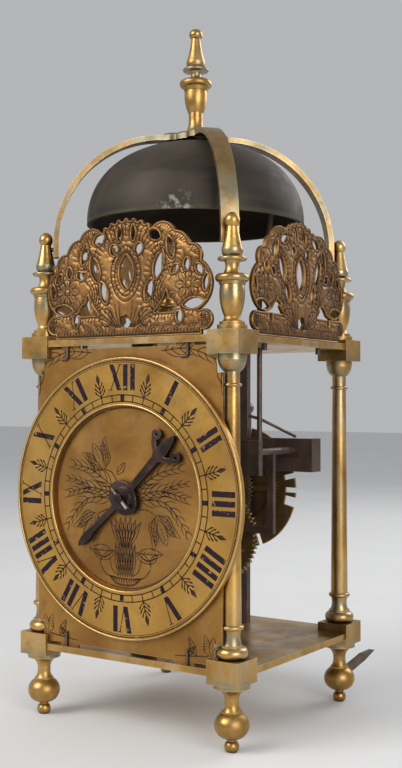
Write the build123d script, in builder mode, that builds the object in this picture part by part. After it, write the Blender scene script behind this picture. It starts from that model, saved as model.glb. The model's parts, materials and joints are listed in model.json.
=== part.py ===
"""A weight-driven lantern clock: a brass posted frame with pierced frets, a bell under crossed straps,
one hour hand, a going train with an anchor and a striking train governed by a count wheel.

Millimetres. +Z is up and the dial faces -Y. The origin is on the plane of the feet, under the middle
of the clock's outer box, so the bell's axis stands at axis_y.
"""
import os
from collections import namedtuple
from math import atan2, cos, degrees, hypot, pi, radians, sin, sqrt

from build123d import *

os.makedirs("parts", exist_ok=True)

# ---- frame: four posts between two plates -------------------------------------------------------
post_spacing_x = 128.0
post_spacing_y = 120.0
block_side = 19.0
block_height = 12.5
plate_thickness = 3.6
plate_set_back = 0.9
bottom_plate_lift = 3.8
top_plate_drop = 2.5
foot_height = 35.0
pillar_length = 156.0
finial_height = 60.7
spigot_d = 6.0
spigot_reach = 7.0
spigot_play = 0.05

# ---- turned posts -------------------------------------------------------------------------------
shaft_low_d = 10.0
shaft_high_d = 8.1
pillar_base_d = 17.0
pillar_cap_d = 15.4
low_ring_d = 12.6
high_ring_d = 10.4
foot_ball_d = 18.2
foot_neck_d = 7.3
foot_button_d = 7.8
foot_pad_d = 5.2
finial_base_d = 15.7
finial_urn_d = 13.3
finial_torus_d = 17.8
finial_neck_d = 7.8
finial_disc_d = 15.2
finial_pear_d = 11.0
finial_ball_d = 7.8

# ---- dial ---------------------------------------------------------------------------------------
dial_lift = 0.85
dial_width = 125.0
dial_thickness = 1.4
dial_stand_off = 0.2
dial_edge_gap = 1.6
tongue_width = 12.0
ring_headroom = 4.0
ring_bore_d = 99.6
ring_thickness = 3.0
ring_rivet_d = 2.4
ring_rivet_circle_d = 127.0
hand_length = 48.2
tail_length = 41.0
hand_hub_d = 20.5
hand_thickness = 2.0
hand_clearance = 1.0
hand_collar_height = 1.4
hand_collar_d = 12.0
hand_arbor_d = 5.0
hand_pin_d = 2.2
hand_pin_length = 15.0
hand_past_pin = 0.9
hand_angle = 45.0
latch_wire_d = 1.5
latch_inset = 35.0
latch_drop = 8.0
latch_toe = 4.5

# ---- bell and its cage --------------------------------------------------------------------------
bell_d = 128.0
bell_height = 48.6
bell_wall = 2.2
bell_rim_z = 282.5
bell_squareness = 2.25
bell_hole_d = 6.4
crown_d = 41.0
crown_height = 4.2
crown_boss_d = 16.0
crown_boss_height = 1.2
stud_d = 5.0
strap_width = 9.6
strap_thickness = 3.0
strap_tail_drop = 9.0
strap_tenon_d = 2.4
strap_tenon_play = 0.05
strap_lap = 4.0
strap_shoulder_share = 0.48
strap_shoulder_drop = 3.4
strap_knee_share = 0.72
strap_knee_drop = 14.5
centre_finial_height = 63.5
bell_nut_flats = 9.0
bell_nut_height = 4.0

# ---- frets --------------------------------------------------------------------------------------
fret_height = 65.0
fret_half_width = 56.0
side_fret_share = 0.92
fret_thickness = 1.6
fret_inset = 2.0
fret_lug_width = 10.0
fret_lug_depth = 7.0
fret_lug_height = 1.6
fret_screw_d = 3.0
fret_screw_head_d = 5.6
fret_screw_head_height = 2.2
fret_screw_below = 3.4
fret_lug_spread = 66.0

# ---- movement bars ------------------------------------------------------------------------------
bar_width = 15.0
bar_thickness = 4.0
front_bar_offset = -50.0
centre_bar_offset = 0.0
rear_bar_offset = 48.0
tenon_width = 8.0
tenon_play = 0.1
tenon_rise = 7.0
wedge_height = 4.0
wedge_thickness = 2.0
wedge_length = 17.0
arm_low_z = 137.0
arm_height = 20.0
rear_arm_reach = 53.0
centre_arm_reach = 45.0
front_arm_reach = 45.0
front_arm_height = 10.0
arm_slot_height = 3.4
arm_slot_start = 10.0
arm_slot_end = 43.5
arm_flange = 7.0
arm_flange_thickness = 3.0
pivot_play = 0.05
end_shake = 0.3

# ---- wheels: teeth and modules ------------------------------------------------------------------
Mesh = namedtuple("Mesh", "wheel pinion module")
motion_work = Mesh(72, 6, 0.9)
great_mesh = Mesh(56, 7, 0.946)
second_mesh = Mesh(60, 8, 0.75)
hoop_mesh = Mesh(56, 7, 0.8)
warning_mesh = Mesh(48, 6, 0.7)
count_mesh = Mesh(78, 8, 0.64)
wheel_addendum = 0.95
wheel_dedendum = 1.2
pinion_addendum = 0.5
pinion_dedendum = 1.25
wheel_thickness = 2.2
great_wheel_thickness = 2.6
rim_width = 3.6
pin_rim_width = 7.6
spoke_width = 3.0
arbor_d = 3.2
great_arbor_d = 6.0
pivot_d = 1.6
great_pivot_d = 3.0
escape_teeth = 30
escape_wheel_d = 36.0
escape_thickness = 1.4
pallet_drop = 28.0
pallet_span_teeth = 7.5
pallet_clear = 1.6
pallet_thickness = 3.0
pulley_d = 36.0
pulley_groove_d = 29.0
pulley_width = 8.0
rope_hole_d = 8.0
count_wheel_d = 75.0
count_notch_depth = 7.0
count_notch_lap = 0.08
count_start = -14.4
count_wheel_thickness = 1.6
count_stud_d = 4.0
count_z = 125.5
hammer_pins = 8
hammer_pin_d = 2.4
hammer_pin_circle_d = 40.0
hammer_pin_length = 5.0
hoop_d = 38.0
hoop_wall = 1.2
hoop_depth = 3.0
hoop_gap = 7.0
star_points = 12
star_d = 18.0
star_thickness = 1.5
hoop_arbor_x = -4.5
fly_arbor_x = 18.5
fly_width = 30.0
fly_length = 13.5
fly_thickness = 0.8

# ---- hammer, detents, spurs and hanging hoop ----------------------------------------------------
lever_arbor_x = 40.0
lever_arbor_z = 150.0
lever_arbor_d = 4.0
lever_pivot_d = 2.5
lever_clear = 0.9
lever_width = 4.0
hammer_rod_d = 3.0
hammer_rod_offset = 7.0
hammer_bend_z = 236.0
hammer_head_d = 9.0
hammer_head_length = 15.0
hammer_gap = 5.6
hammer_back_swing = 8.0
hammer_blow_swing = 1.0
spur_reach = 105.0
spur_side = 4.0
spur_low_z = 16.5
spur_rise = 6.0
spur_tenon_d = 3.6
spur_tenon_length = 4.0
hanger_wire_d = 4.0
hanger_width = 28.0
hanger_reach = 100.0
hanger_rivet_inset = 12.0

# ---- places worked out from the sizes -----------------------------------------------------------
post_x = post_spacing_x / 2
post_y = post_spacing_y / 2
dial_offset = -(post_y + shaft_low_d / 2 + dial_stand_off)
dial_front_offset = dial_offset - dial_thickness
hand_offset = dial_front_offset - hand_clearance
collar_front_offset = hand_offset - hand_thickness - hand_collar_height
hand_pin_offset = collar_front_offset - hand_pin_d / 2 - 0.1
arbor_end_offset = hand_pin_offset - hand_pin_d / 2 - hand_past_pin
axis_y = -(spur_reach + arbor_end_offset) / 2

bottom_plate_z = foot_height + bottom_plate_lift
floor_z = bottom_plate_z + plate_thickness
pillar_z = foot_height + block_height
top_block_z = pillar_z + pillar_length
finial_z = top_block_z + block_height
ceiling_z = finial_z - top_plate_drop - plate_thickness
roof_z = ceiling_z + plate_thickness
plate_half_x = post_x + block_side / 2 - plate_set_back
plate_half_y = post_y + block_side / 2 - plate_set_back
dial_z = (floor_z + ceiling_z) / 2 + dial_lift
ring_d = pillar_length - ring_headroom
latch_x = ring_d / 2 - latch_inset
bell_top_z = bell_rim_z + bell_height
crown_z = bell_top_z + crown_boss_height
crown_top_z = crown_z + crown_height


def depth(mesh):
    """The distance between the centres of a wheel and its pinion."""
    return mesh.module * (mesh.wheel + mesh.pinion) / 2


going_great_z = dial_z - depth(motion_work)
second_z = going_great_z + depth(great_mesh)
escape_z = second_z + depth(second_mesh)
pallet_z = escape_z + pallet_drop
strike_great_z = count_z - depth(count_mesh)
blows = count_mesh.wheel
count_notch_width = pi * count_wheel_d / blows + count_notch_lap
hoop_z = strike_great_z + sqrt(depth(great_mesh) ** 2 - hoop_arbor_x**2)
warning_z = hoop_z + sqrt(depth(hoop_mesh) ** 2 - hoop_arbor_x**2)
fly_z = warning_z - sqrt(depth(warning_mesh) ** 2 - fly_arbor_x**2)

front_bar_front = axis_y + front_bar_offset - bar_thickness / 2
front_bar_back = front_bar_front + bar_thickness
centre_bar_front = axis_y + centre_bar_offset - bar_thickness / 2
centre_bar_back = centre_bar_front + bar_thickness
rear_bar_front = axis_y + rear_bar_offset - bar_thickness / 2
rear_bar_back = rear_bar_front + bar_thickness

# Lanes of the striking train, measured back from the centre bar.
strike_pulley_y = centre_bar_back + 4.0
strike_great_y = centre_bar_back + 22.0
hoop_wheel_y = centre_bar_back + 31.0
warning_wheel_y = centre_bar_back + 8.0
fly_y = centre_bar_back + 15.0
count_gear_y = rear_bar_back + 1.2
count_wheel_y = count_gear_y + wheel_thickness
# Lanes of the going train, measured back from the front bar.
going_great_y = front_bar_back + 20.0
going_pulley_y = front_bar_back + 28.0
second_wheel_y = front_bar_back + 12.0
escape_wheel_y = front_bar_back + 36.0
# The motion work stands between the front bar and the dial plate.
dial_wheel_y = front_bar_front - 7.0
star_y = dial_wheel_y + wheel_thickness
crutch_y = count_wheel_y + count_wheel_thickness + 4.0

CORNERS = {
    "front_left": (-post_x, axis_y - post_y),
    "front_right": (post_x, axis_y - post_y),
    "rear_left": (-post_x, axis_y + post_y),
    "rear_right": (post_x, axis_y + post_y),
}


# ---- shared ways of drawing ---------------------------------------------------------------------
def save(builder, name):
    """Labels a finished piece and writes it under its own name."""
    builder.part.label = name
    export_step(builder.part, f"parts/{name}.step")


def facing(y):
    """The upright plane at depth y, seen from the front: its axes are X and Z, its normal is -Y."""
    return Plane.XZ.offset(-y)


def band(from_d, to_d, rise, middle_d=None, share=0.5):
    """One moulding of a turned piece, straight or bowed through middle_d at a share of its rise."""
    return from_d, to_d, rise, middle_d, share


def turn(x, y, z, mouldings):
    """Adds a turned solid that stands on z, its mouldings given from the bottom up."""
    with BuildSketch(Plane(origin=(x, y, z), x_dir=(1, 0, 0), z_dir=(0, -1, 0))) as half:
        with BuildLine():
            edge = (0, 0)
            height = 0
            for from_d, to_d, rise, middle_d, share in mouldings:
                start = (from_d / 2, height)
                end = (to_d / 2, height + rise)
                if hypot(start[0] - edge[0], start[1] - edge[1]) > 1e-6:
                    Line(edge, start)
                if middle_d is None:
                    Line(start, end)
                else:
                    ThreePointArc(start, (middle_d / 2, height + rise * share), end)
                edge = end
                height += rise
            Line(edge, (0, height))
            Line((0, height), (0, 0))
        make_face()
    revolve(half.sketch, axis=Axis((x, y, z), (0, 0, 1)))


def upright_bar(x, y, z, d, height, mode=Mode.ADD):
    """Adds or cuts a round bar that stands on z."""
    with Locations((x, y, z)):
        Cylinder(d / 2, height, align=(Align.CENTER, Align.CENTER, Align.MIN), mode=mode)


def lying_bar(x, z, d, front, back, mode=Mode.ADD):
    """Adds or cuts a round bar that lies front to back."""
    with BuildSketch(facing(back)) as section:
        with Locations((x, z)):
            Circle(d / 2)
    extrude(section.sketch, amount=back - front, mode=mode)


def spindle(x, z, front_face, back_face, body_d, end_d):
    """Adds an arbor between two bars' facing sides, with a pivot through each bar."""
    lying_bar(x, z, body_d, front_face + end_shake, back_face - end_shake)
    lying_bar(x, z, end_d, front_face - bar_thickness, back_face + bar_thickness)


def tooth_points(x, z, teeth, module, add, ded, widths, phase):
    """The outline of a toothed wheel: each tooth has a root, a flank point and a tip on both sides."""
    radius = teeth * module / 2
    pitch = 2 * pi / teeth
    root, flank, tip = widths
    levels = (radius - ded * module, radius, radius + add * module)
    sides = [(levels[0], -root), (levels[1], -flank), (levels[2], -tip)]
    sides += [(levels[2], tip), (levels[1], flank), (levels[0], root)]
    points = []
    for tooth in range(teeth):
        for r, share in sides:
            angle = phase + (tooth + share) * pitch
            points.append((x + r * cos(angle), z + r * sin(angle)))
    return points


def wheel(x, z, y, thickness, mesh, phase, hub_d, rim=rim_width):
    """Adds a crossed-out wheel whose front face is at y."""
    outline = tooth_points(
        x, z, mesh.wheel, mesh.module, wheel_addendum, wheel_dedendum, (0.28, 0.22, 0.08), phase
    )
    inner = mesh.wheel * mesh.module / 2 - wheel_dedendum * mesh.module - rim
    with BuildSketch(facing(y + thickness)) as flat:
        with BuildLine():
            Polyline(outline, close=True)
        make_face()
        with Locations((x, z)):
            Circle(inner, mode=Mode.SUBTRACT)
            Circle(hub_d / 2)
            Rectangle(2 * inner + 1, spoke_width)
            Rectangle(spoke_width, 2 * inner + 1)
    extrude(flat.sketch, amount=thickness)


def pinion(x, z, front, back, mesh, phase):
    """Adds a pinion's leaves between two depths."""
    outline = tooth_points(
        x, z, mesh.pinion, mesh.module, pinion_addendum, pinion_dedendum, (0.15, 0.16, 0.08), phase
    )
    with BuildSketch(facing(back)) as flat:
        with BuildLine():
            Polyline(outline, close=True)
        make_face()
    extrude(flat.sketch, amount=back - front)


def meshed(direction, phase, teeth, other_teeth):
    """The phase of a wheel in mesh with another that has this phase and lies in this direction."""
    return direction + pi + pi / other_teeth - (phase - direction) * teeth / other_teeth


def aim(from_xz, to_xz):
    """The direction, in the dial's plane, from one centre to another."""
    return atan2(to_xz[1] - from_xz[1], to_xz[0] - from_xz[0])


def flat_lever(points, width, front, back):
    """Adds a flat strip that follows points in the dial's plane."""
    with BuildSketch(facing(back)) as flat:
        with BuildLine() as path:
            Polyline(points)
        trace(path.line, line_width=width)
    extrude(flat.sketch, amount=back - front)


def wire(points, d, bend):
    """A round wire along points, its corners bent to the radii given."""
    with BuildLine(mode=Mode.PRIVATE) as route:
        FilletPolyline(points, radius=bend)
    with BuildSketch(Plane(origin=route.line @ 0, z_dir=route.line % 0), mode=Mode.PRIVATE) as end:
        Circle(d / 2)
    sweep(end.sketch, path=route.line)


# ---- plates with their corner blocks ------------------------------------------------------------
def plate(z, block_z):
    """Adds a plate and the four square blocks cast with it."""
    with BuildSketch(Plane.XY.offset(z)) as flat:
        with Locations((0, axis_y)):
            Rectangle(2 * plate_half_x, 2 * plate_half_y)
    extrude(flat.sketch, amount=plate_thickness)
    with BuildSketch(Plane.XY.offset(block_z)) as blocks:
        with Locations((0, axis_y)):
            with GridLocations(post_spacing_x, post_spacing_y, 2, 2):
                Rectangle(block_side, block_side)
    extrude(blocks.sketch, amount=block_height)
    for x, y in CORNERS.values():
        upright_bar(x, y, block_z, spigot_d + 2 * spigot_play, block_height, Mode.SUBTRACT)


def tenon_slots(z):
    """Cuts the three slots that the movement bars' tenons pass through."""
    with BuildSketch(Plane.XY.offset(z)) as slots:
        for offset in (front_bar_offset, centre_bar_offset, rear_bar_offset):
            with Locations((0, axis_y + offset)):
                Rectangle(tenon_width + 2 * tenon_play, bar_thickness + 2 * tenon_play)
    extrude(slots.sketch, amount=plate_thickness, mode=Mode.SUBTRACT)


rope_x = pulley_groove_d / 2
with BuildPart() as bottom_plate:
    plate(bottom_plate_z, foot_height)
    tenon_slots(bottom_plate_z)
    for lane in (going_pulley_y, strike_pulley_y):
        for side in (-1, 1):
            upright_bar(
                side * rope_x, lane + pulley_width / 2, bottom_plate_z, rope_hole_d,
                plate_thickness, Mode.SUBTRACT,
            )
    for side in (-1, 1):
        upright_bar(
            side * latch_x, axis_y + dial_front_offset - latch_wire_d / 2 - 0.05, bottom_plate_z,
            latch_wire_d + 0.1, plate_thickness, Mode.SUBTRACT,
        )
save(bottom_plate, "bottom_plate")

# Where the frets' lugs are screwed down, as (x, y) on the top plate.
front_fret_y = axis_y - plate_half_y + fret_inset
side_fret_x = plate_half_x - fret_inset
front_lug_y = front_fret_y + fret_thickness + fret_lug_depth / 2
side_lug_x = side_fret_x - fret_thickness - fret_lug_depth / 2
side_lug_spread = fret_lug_spread * side_fret_share
lug_places = [(side * fret_lug_spread / 2, front_lug_y) for side in (-1, 1)]
for side in (-1, 1):
    lug_places += [(side * side_lug_x, axis_y + end * side_lug_spread / 2) for end in (-1, 1)]

hammer_y = centre_bar_back + hammer_rod_offset - bar_thickness / 2
hammer_arm_rise = roof_z - lever_arbor_z
slot_back = hammer_arm_rise * sin(radians(hammer_back_swing)) + hammer_rod_d / 2 + 1.2
slot_fore = hammer_arm_rise * sin(radians(hammer_blow_swing)) + hammer_rod_d / 2 + 0.8
hanger_rivet_y = axis_y + plate_half_y - hanger_rivet_inset

with BuildPart() as top_plate:
    plate(ceiling_z, top_block_z)
    tenon_slots(ceiling_z)
    with BuildSketch(Plane.XY.offset(ceiling_z)) as hammer_slot:
        with Locations((lever_arbor_x + (slot_fore - slot_back) / 2, hammer_y)):
            Rectangle(slot_fore + slot_back, hammer_rod_d + 2)
    extrude(hammer_slot.sketch, amount=plate_thickness, mode=Mode.SUBTRACT)
    for x, y in lug_places:
        upright_bar(x, y, ceiling_z, fret_screw_d + 0.1, plate_thickness, Mode.SUBTRACT)
    for side in (-1, 1):
        upright_bar(
            side * latch_x, axis_y + dial_front_offset - latch_wire_d / 2 - 0.05, ceiling_z,
            latch_wire_d + 0.1, plate_thickness, Mode.SUBTRACT,
        )
        upright_bar(
            side * hanger_width / 2, hanger_rivet_y, ceiling_z, hanger_wire_d + 0.1,
            plate_thickness, Mode.SUBTRACT,
        )
save(top_plate, "top_plate")

# ---- pillars, feet and corner finials -----------------------------------------------------------
base_rise = 6.0
fillet_rise = 1.2
low_neck_rise = 7.5
low_ring_rise = 2.6
cap_lip_rise = 3.0
cap_bowl_rise = 6.2
high_neck_rise = 5.8
high_ring_rise = 2.0
shaft_rise = pillar_length - (
    base_rise + fillet_rise + low_neck_rise + low_ring_rise
    + cap_lip_rise + cap_bowl_rise + high_neck_rise + high_ring_rise
)
pillar_mouldings = [
    band(pillar_base_d - 4.0, pillar_base_d - 4.0, base_rise, pillar_base_d),
    band(shaft_low_d + 2.4, shaft_low_d + 2.4, fillet_rise),
    band(shaft_low_d + 0.6, shaft_low_d - 0.2, low_neck_rise, shaft_low_d - 1.0),
    band(shaft_low_d + 0.4, shaft_low_d + 0.4, low_ring_rise, low_ring_d),
    band(shaft_low_d, shaft_high_d, shaft_rise),
    band(shaft_high_d + 0.3, shaft_high_d + 0.3, high_ring_rise, high_ring_d),
    band(shaft_high_d, shaft_high_d, high_neck_rise),
    band(shaft_high_d + 0.4, pillar_cap_d - 0.4, cap_bowl_rise, pillar_cap_d - 1.9, 0.52),
    band(pillar_cap_d, pillar_cap_d, cap_lip_rise),
]

button_rise = 5.6
button_neck_rise = 1.2
ball_rise = 13.2
flare_rise = 4.4
flare_ring_rise = 0.9
foot_neck_rise = 1.8
cove_rise = 5.6
shoulder_rise = foot_height - (
    button_rise + button_neck_rise + ball_rise + flare_rise + flare_ring_rise
    + foot_neck_rise + cove_rise
)
foot_mouldings = [
    band(foot_pad_d, foot_pad_d, button_rise, foot_button_d),
    band(foot_pad_d - 0.4, foot_pad_d - 0.4, button_neck_rise),
    band(foot_pad_d + 1.0, foot_neck_d + 3.0, ball_rise, foot_ball_d),
    band(foot_neck_d + 3.4, foot_neck_d + 3.4, flare_ring_rise),
    band(foot_neck_d + 2.4, foot_neck_d, flare_rise, foot_neck_d + 0.5),
    band(foot_neck_d, foot_neck_d, foot_neck_rise),
    band(foot_neck_d, block_side - 1.4, cove_rise, foot_neck_d + 3.2, 0.62),
    band(block_side - 0.3, block_side - 0.3, shoulder_rise),
]

step_rise = 2.4
upper_step_rise = 1.6
urn_foot_rise = 2.6
urn_rise = 16.6
urn_fillet_rise = 1.4
torus_rise = 4.0
vase_neck_rise = 7.0
disc_rise = 1.7
pear_rise = 5.4
taper_rise = 10.4
finial_ball_rise = finial_height - (
    step_rise + upper_step_rise + urn_foot_rise + urn_rise + urn_fillet_rise + torus_rise
    + vase_neck_rise + disc_rise + pear_rise + taper_rise
)
finial_mouldings = [
    band(finial_base_d, finial_base_d, step_rise),
    band(finial_base_d - 2.4, finial_base_d - 2.4, upper_step_rise),
    band(finial_base_d - 4.0, finial_neck_d + 0.4, urn_foot_rise, finial_neck_d + 1.2),
    band(finial_neck_d + 0.4, finial_urn_d - 0.8, urn_rise, finial_urn_d, 0.7),
    band(finial_urn_d + 0.4, finial_urn_d + 0.8, urn_fillet_rise),
    band(finial_torus_d - 2.6, finial_torus_d - 2.6, torus_rise, finial_torus_d),
    band(finial_neck_d + 2.2, finial_neck_d + 0.6, vase_neck_rise, finial_neck_d - 0.6),
    band(finial_disc_d - 0.8, finial_disc_d - 0.8, disc_rise, finial_disc_d),
    band(finial_pear_d - 3.0, finial_pear_d - 0.6, pear_rise, finial_pear_d),
    band(finial_pear_d - 0.6, finial_ball_d - 1.8, taper_rise, finial_ball_d - 0.4, 0.62),
    band(finial_ball_d - 2.4, 1.2, finial_ball_rise, finial_ball_d, 0.5),
]
tenon_z = finial_z + finial_height - finial_ball_rise - 2.2

strap_angle = atan2(post_y, post_x)
post_radius = hypot(post_x, post_y)
strap_outer_r = post_radius - finial_ball_d / 2 - 0.5
strap_line_r = strap_outer_r - strap_thickness / 2

for corner, (x, y) in CORNERS.items():
    with BuildPart() as pillar:
        turn(x, y, pillar_z, pillar_mouldings)
        upright_bar(x, y, pillar_z - block_height - spigot_reach, spigot_d,
                    pillar_length + 2 * (block_height + spigot_reach))
    save(pillar, f"pillar_{corner}")

    with BuildPart() as foot:
        turn(x, y, 0, foot_mouldings)
        upright_bar(x, y, foot_height - spigot_reach - spigot_play, spigot_d + 2 * spigot_play,
                    spigot_reach + spigot_play, Mode.SUBTRACT)
        if corner.startswith("rear"):
            spur_seat = y + foot_ball_d / 2 - spur_tenon_length
            lying_bar(x, spur_low_z, spur_tenon_d + 0.1, spur_seat, y + foot_ball_d,
                      Mode.SUBTRACT)
    save(foot, f"foot_{corner}")

    with BuildPart() as finial:
        turn(x, y, finial_z, finial_mouldings)
        upright_bar(x, y, finial_z, spigot_d + 2 * spigot_play, spigot_reach + spigot_play,
                    Mode.SUBTRACT)
        inward = Vector(-x, axis_y - y, 0).normalized()
        with Locations(Plane(origin=(x, y, tenon_z), z_dir=inward)):
            Cylinder(strap_tenon_d / 2 + strap_tenon_play, post_radius / 4,
                     align=(Align.CENTER, Align.CENTER, Align.MIN), mode=Mode.SUBTRACT)
    save(finial, f"finial_{corner}")

# ---- bell cage: crown, four straps, centre finial ------------------------------------------------
crown_lobe_d = 15.0
crown_lobes = 4
crown_waist_d = 30.0
with BuildPart() as strap_crown:
    with BuildSketch(Plane.XY.offset(crown_z)) as crown_face:
        with Locations((0, axis_y)):
            Circle(crown_waist_d / 2)
            with PolarLocations((crown_d - crown_lobe_d) / 2, crown_lobes,
                                start_angle=degrees(strap_angle)):
                Circle(crown_lobe_d / 2)
    extrude(crown_face.sketch, amount=crown_height)
    chamfer(strap_crown.edges().group_by(Axis.Z)[-1], length=crown_height / 4)
    upright_bar(0, axis_y, crown_z - crown_boss_height, crown_boss_d, crown_boss_height)
    for side in (-1, 1):
        for end in (-1, 1):
            direction = Vector(side * post_x, end * post_y, 0).normalized()
            start = Vector(0, axis_y, crown_z) + direction * (crown_d / 2 - strap_lap - 1.5)
            socket = Plane(origin=start, x_dir=(0, 0, 1), z_dir=direction)
            with BuildSketch(socket) as mouth:
                Rectangle(2 * (strap_thickness + 0.1), strap_width + 0.2)
            extrude(mouth.sketch, amount=crown_d / 2, mode=Mode.SUBTRACT)
    upright_bar(0, axis_y, crown_z - crown_boss_height, stud_d + 2 * spigot_play,
                crown_height + crown_boss_height, Mode.SUBTRACT)
save(strap_crown, "strap_crown")

strap_top_z = crown_z + strap_thickness / 2
strap_knee = (strap_knee_share * strap_line_r, strap_top_z - strap_knee_drop)
strap_shoulder = (strap_shoulder_share * strap_line_r, strap_top_z - strap_shoulder_drop)
strap_foot_z = tenon_z + strap_tail_drop / 2
for corner, (x, y) in CORNERS.items():
    outward = Vector(x, y - axis_y, 0).normalized()
    cage_plane = Plane(
        origin=(0, axis_y, 0), x_dir=outward, z_dir=outward.cross(Vector(0, 0, 1))
    )
    with BuildPart() as strap:
        with BuildSketch(cage_plane) as side_view:
            with BuildLine() as curve:
                over = ThreePointArc((crown_d / 2 - strap_lap, strap_top_z), strap_shoulder, strap_knee)
                down = TangentArc(
                    over @ 1, (strap_line_r, strap_foot_z), tangent=over % 1
                )
                Line(down @ 1, (strap_line_r, tenon_z - strap_tail_drop / 2))
            trace(line_width=strap_thickness)
        extrude(amount=strap_width / 2, both=True)
        with Locations(Plane(origin=outward * strap_line_r + Vector(0, axis_y, tenon_z),
                             z_dir=outward)):
            Cylinder(strap_tenon_d / 2, post_radius - strap_line_r - 1.0,
                     align=(Align.CENTER, Align.CENTER, Align.MIN))
    save(strap, f"bell_strap_{corner}")

trumpet_rise = 10.0
cup_neck_rise = 3.5
cup_rise = 13.2
cup_fillet_rise = 2.0
centre_torus_rise = 4.2
centre_neck_rise = 5.4
centre_disc_rise = 1.6
centre_pear_rise = 5.2
centre_taper_rise = 12.4
centre_ball_rise = centre_finial_height - (
    trumpet_rise + cup_neck_rise + cup_rise + cup_fillet_rise + centre_torus_rise
    + centre_neck_rise + centre_disc_rise + centre_pear_rise + centre_taper_rise
)
with BuildPart() as centre_finial:
    turn(0, axis_y, crown_top_z, [
        band(finial_base_d - 0.8, finial_neck_d + 0.6, trumpet_rise, finial_neck_d + 2.2, 0.4),
        band(finial_neck_d + 0.4, finial_neck_d + 0.6, cup_neck_rise),
        band(finial_neck_d + 1.2, finial_urn_d - 0.3, cup_rise, finial_urn_d - 0.9, 0.4),
        band(finial_urn_d + 0.6, finial_urn_d + 2.0, cup_fillet_rise),
        band(finial_torus_d - 1.0, finial_torus_d - 1.4, centre_torus_rise, finial_torus_d + 1.4),
        band(finial_neck_d + 0.6, finial_neck_d - 0.6, centre_neck_rise, finial_neck_d - 2.0),
        band(finial_disc_d - 0.6, finial_disc_d - 0.6, centre_disc_rise, finial_disc_d + 0.2),
        band(finial_pear_d - 2.6, finial_pear_d - 0.6, centre_pear_rise, finial_pear_d),
        band(finial_pear_d - 0.6, finial_ball_d - 2.4, centre_taper_rise, finial_ball_d - 1.0, 0.6),
        band(finial_ball_d - 2.8, 1.6, centre_ball_rise, finial_ball_d, 0.55),
    ])
    upright_bar(0, axis_y, bell_top_z - bell_wall - bell_nut_height - 1.5, stud_d,
                crown_top_z - bell_top_z + bell_wall + bell_nut_height + 1.5)
save(centre_finial, "centre_finial")


def dome(radius, height):
    """Points up a bell's side, from the rim to the flat crown."""
    steps = 9
    turned = [pi / 2 * step / steps for step in range(steps + 1)]
    power = 2 / bell_squareness
    return [(radius * cos(a) ** power, height * sin(a) ** power) for a in turned[:-1]]


with BuildPart() as bell:
    with BuildSketch(Plane(origin=(0, axis_y, bell_rim_z), x_dir=(1, 0, 0),
                           z_dir=(0, -1, 0))) as half_bell:
        with BuildLine():
            outer = Spline(dome(bell_d / 2, bell_height) + [(0, bell_height)],
                           tangents=[(0, 1), (-1, 0)])
            inner_top = bell_height - bell_wall
            Line(outer @ 1, (0, inner_top))
            inner = Spline(dome(bell_d / 2 - bell_wall, inner_top) + [(0, inner_top)],
                           tangents=[(0, 1), (-1, 0)])
            Line(inner @ 0, outer @ 0)
        make_face()
    revolve(half_bell.sketch, axis=Axis((0, axis_y, 0), (0, 0, 1)))
    upright_bar(0, axis_y, bell_top_z - 2 * bell_wall, bell_hole_d, 4 * bell_wall, Mode.SUBTRACT)
save(bell, "bell")

with BuildPart() as bell_nut:
    with BuildSketch(Plane.XY.offset(bell_top_z - bell_wall - bell_nut_height)) as nut_face:
        with Locations((0, axis_y)):
            Rectangle(bell_nut_flats, bell_nut_flats)
            Circle(stud_d / 2 + spigot_play, mode=Mode.SUBTRACT)
    extrude(nut_face.sketch, amount=bell_nut_height - 0.1)
save(bell_nut, "bell_nut")

# ---- pierced frets ------------------------------------------------------------------------------
# Lobes and openings on one half of a fret, as shares of its half width and height.
Lobe = namedtuple("Lobe", "across up radius")
Opening = namedtuple("Opening", "across up wide tall lean")
arch = Lobe(0.0, 0.535, 0.443)
side_lobes = (
    Lobe(0.58, 0.71, 0.150), Lobe(0.765, 0.640, 0.105), Lobe(0.74, 0.41, 0.226),
    Lobe(0.905, 0.125, 0.085), Lobe(0.43, 0.80, 0.145),
)
side_openings = (
    Opening(0.085, 0.872, 0.022, 0.066, 0.0),
    Opening(0.150, 0.738, 0.038, 0.048, 30.0),
    Opening(0.340, 0.840, 0.040, 0.066, -65.0),
    Opening(0.525, 0.725, 0.032, 0.092, -14.0),
    Opening(0.390, 0.590, 0.046, 0.122, 18.0),
    Opening(0.275, 0.385, 0.038, 0.094, 16.0),
    Opening(0.575, 0.545, 0.028, 0.046, 52.0),
    Opening(0.715, 0.575, 0.028, 0.050, 4.0),
    Opening(0.855, 0.530, 0.028, 0.048, -40.0),
    Opening(0.930, 0.420, 0.024, 0.066, 8.0),
    Opening(0.790, 0.258, 0.040, 0.104, 84.0),
    Opening(0.510, 0.258, 0.038, 0.076, -68.0),
    Opening(0.630, 0.160, 0.030, 0.056, 0.0),
)
fret_strip = 0.20
fret_strip_half = 0.885
arch_scallops = 19
scallop_r = 1.5
almond_wide = 4.8
almond_tall = 9.4


def lens(half_wide, half_tall):
    """A pointed opening between two arcs, standing upright."""
    with BuildSketch(mode=Mode.PRIVATE) as opening:
        with BuildLine():
            ThreePointArc((0, -half_tall), (half_wide, 0), (0, half_tall))
            ThreePointArc((0, half_tall), (-half_wide, 0), (0, -half_tall))
        make_face()
    return opening.sketch


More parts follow.
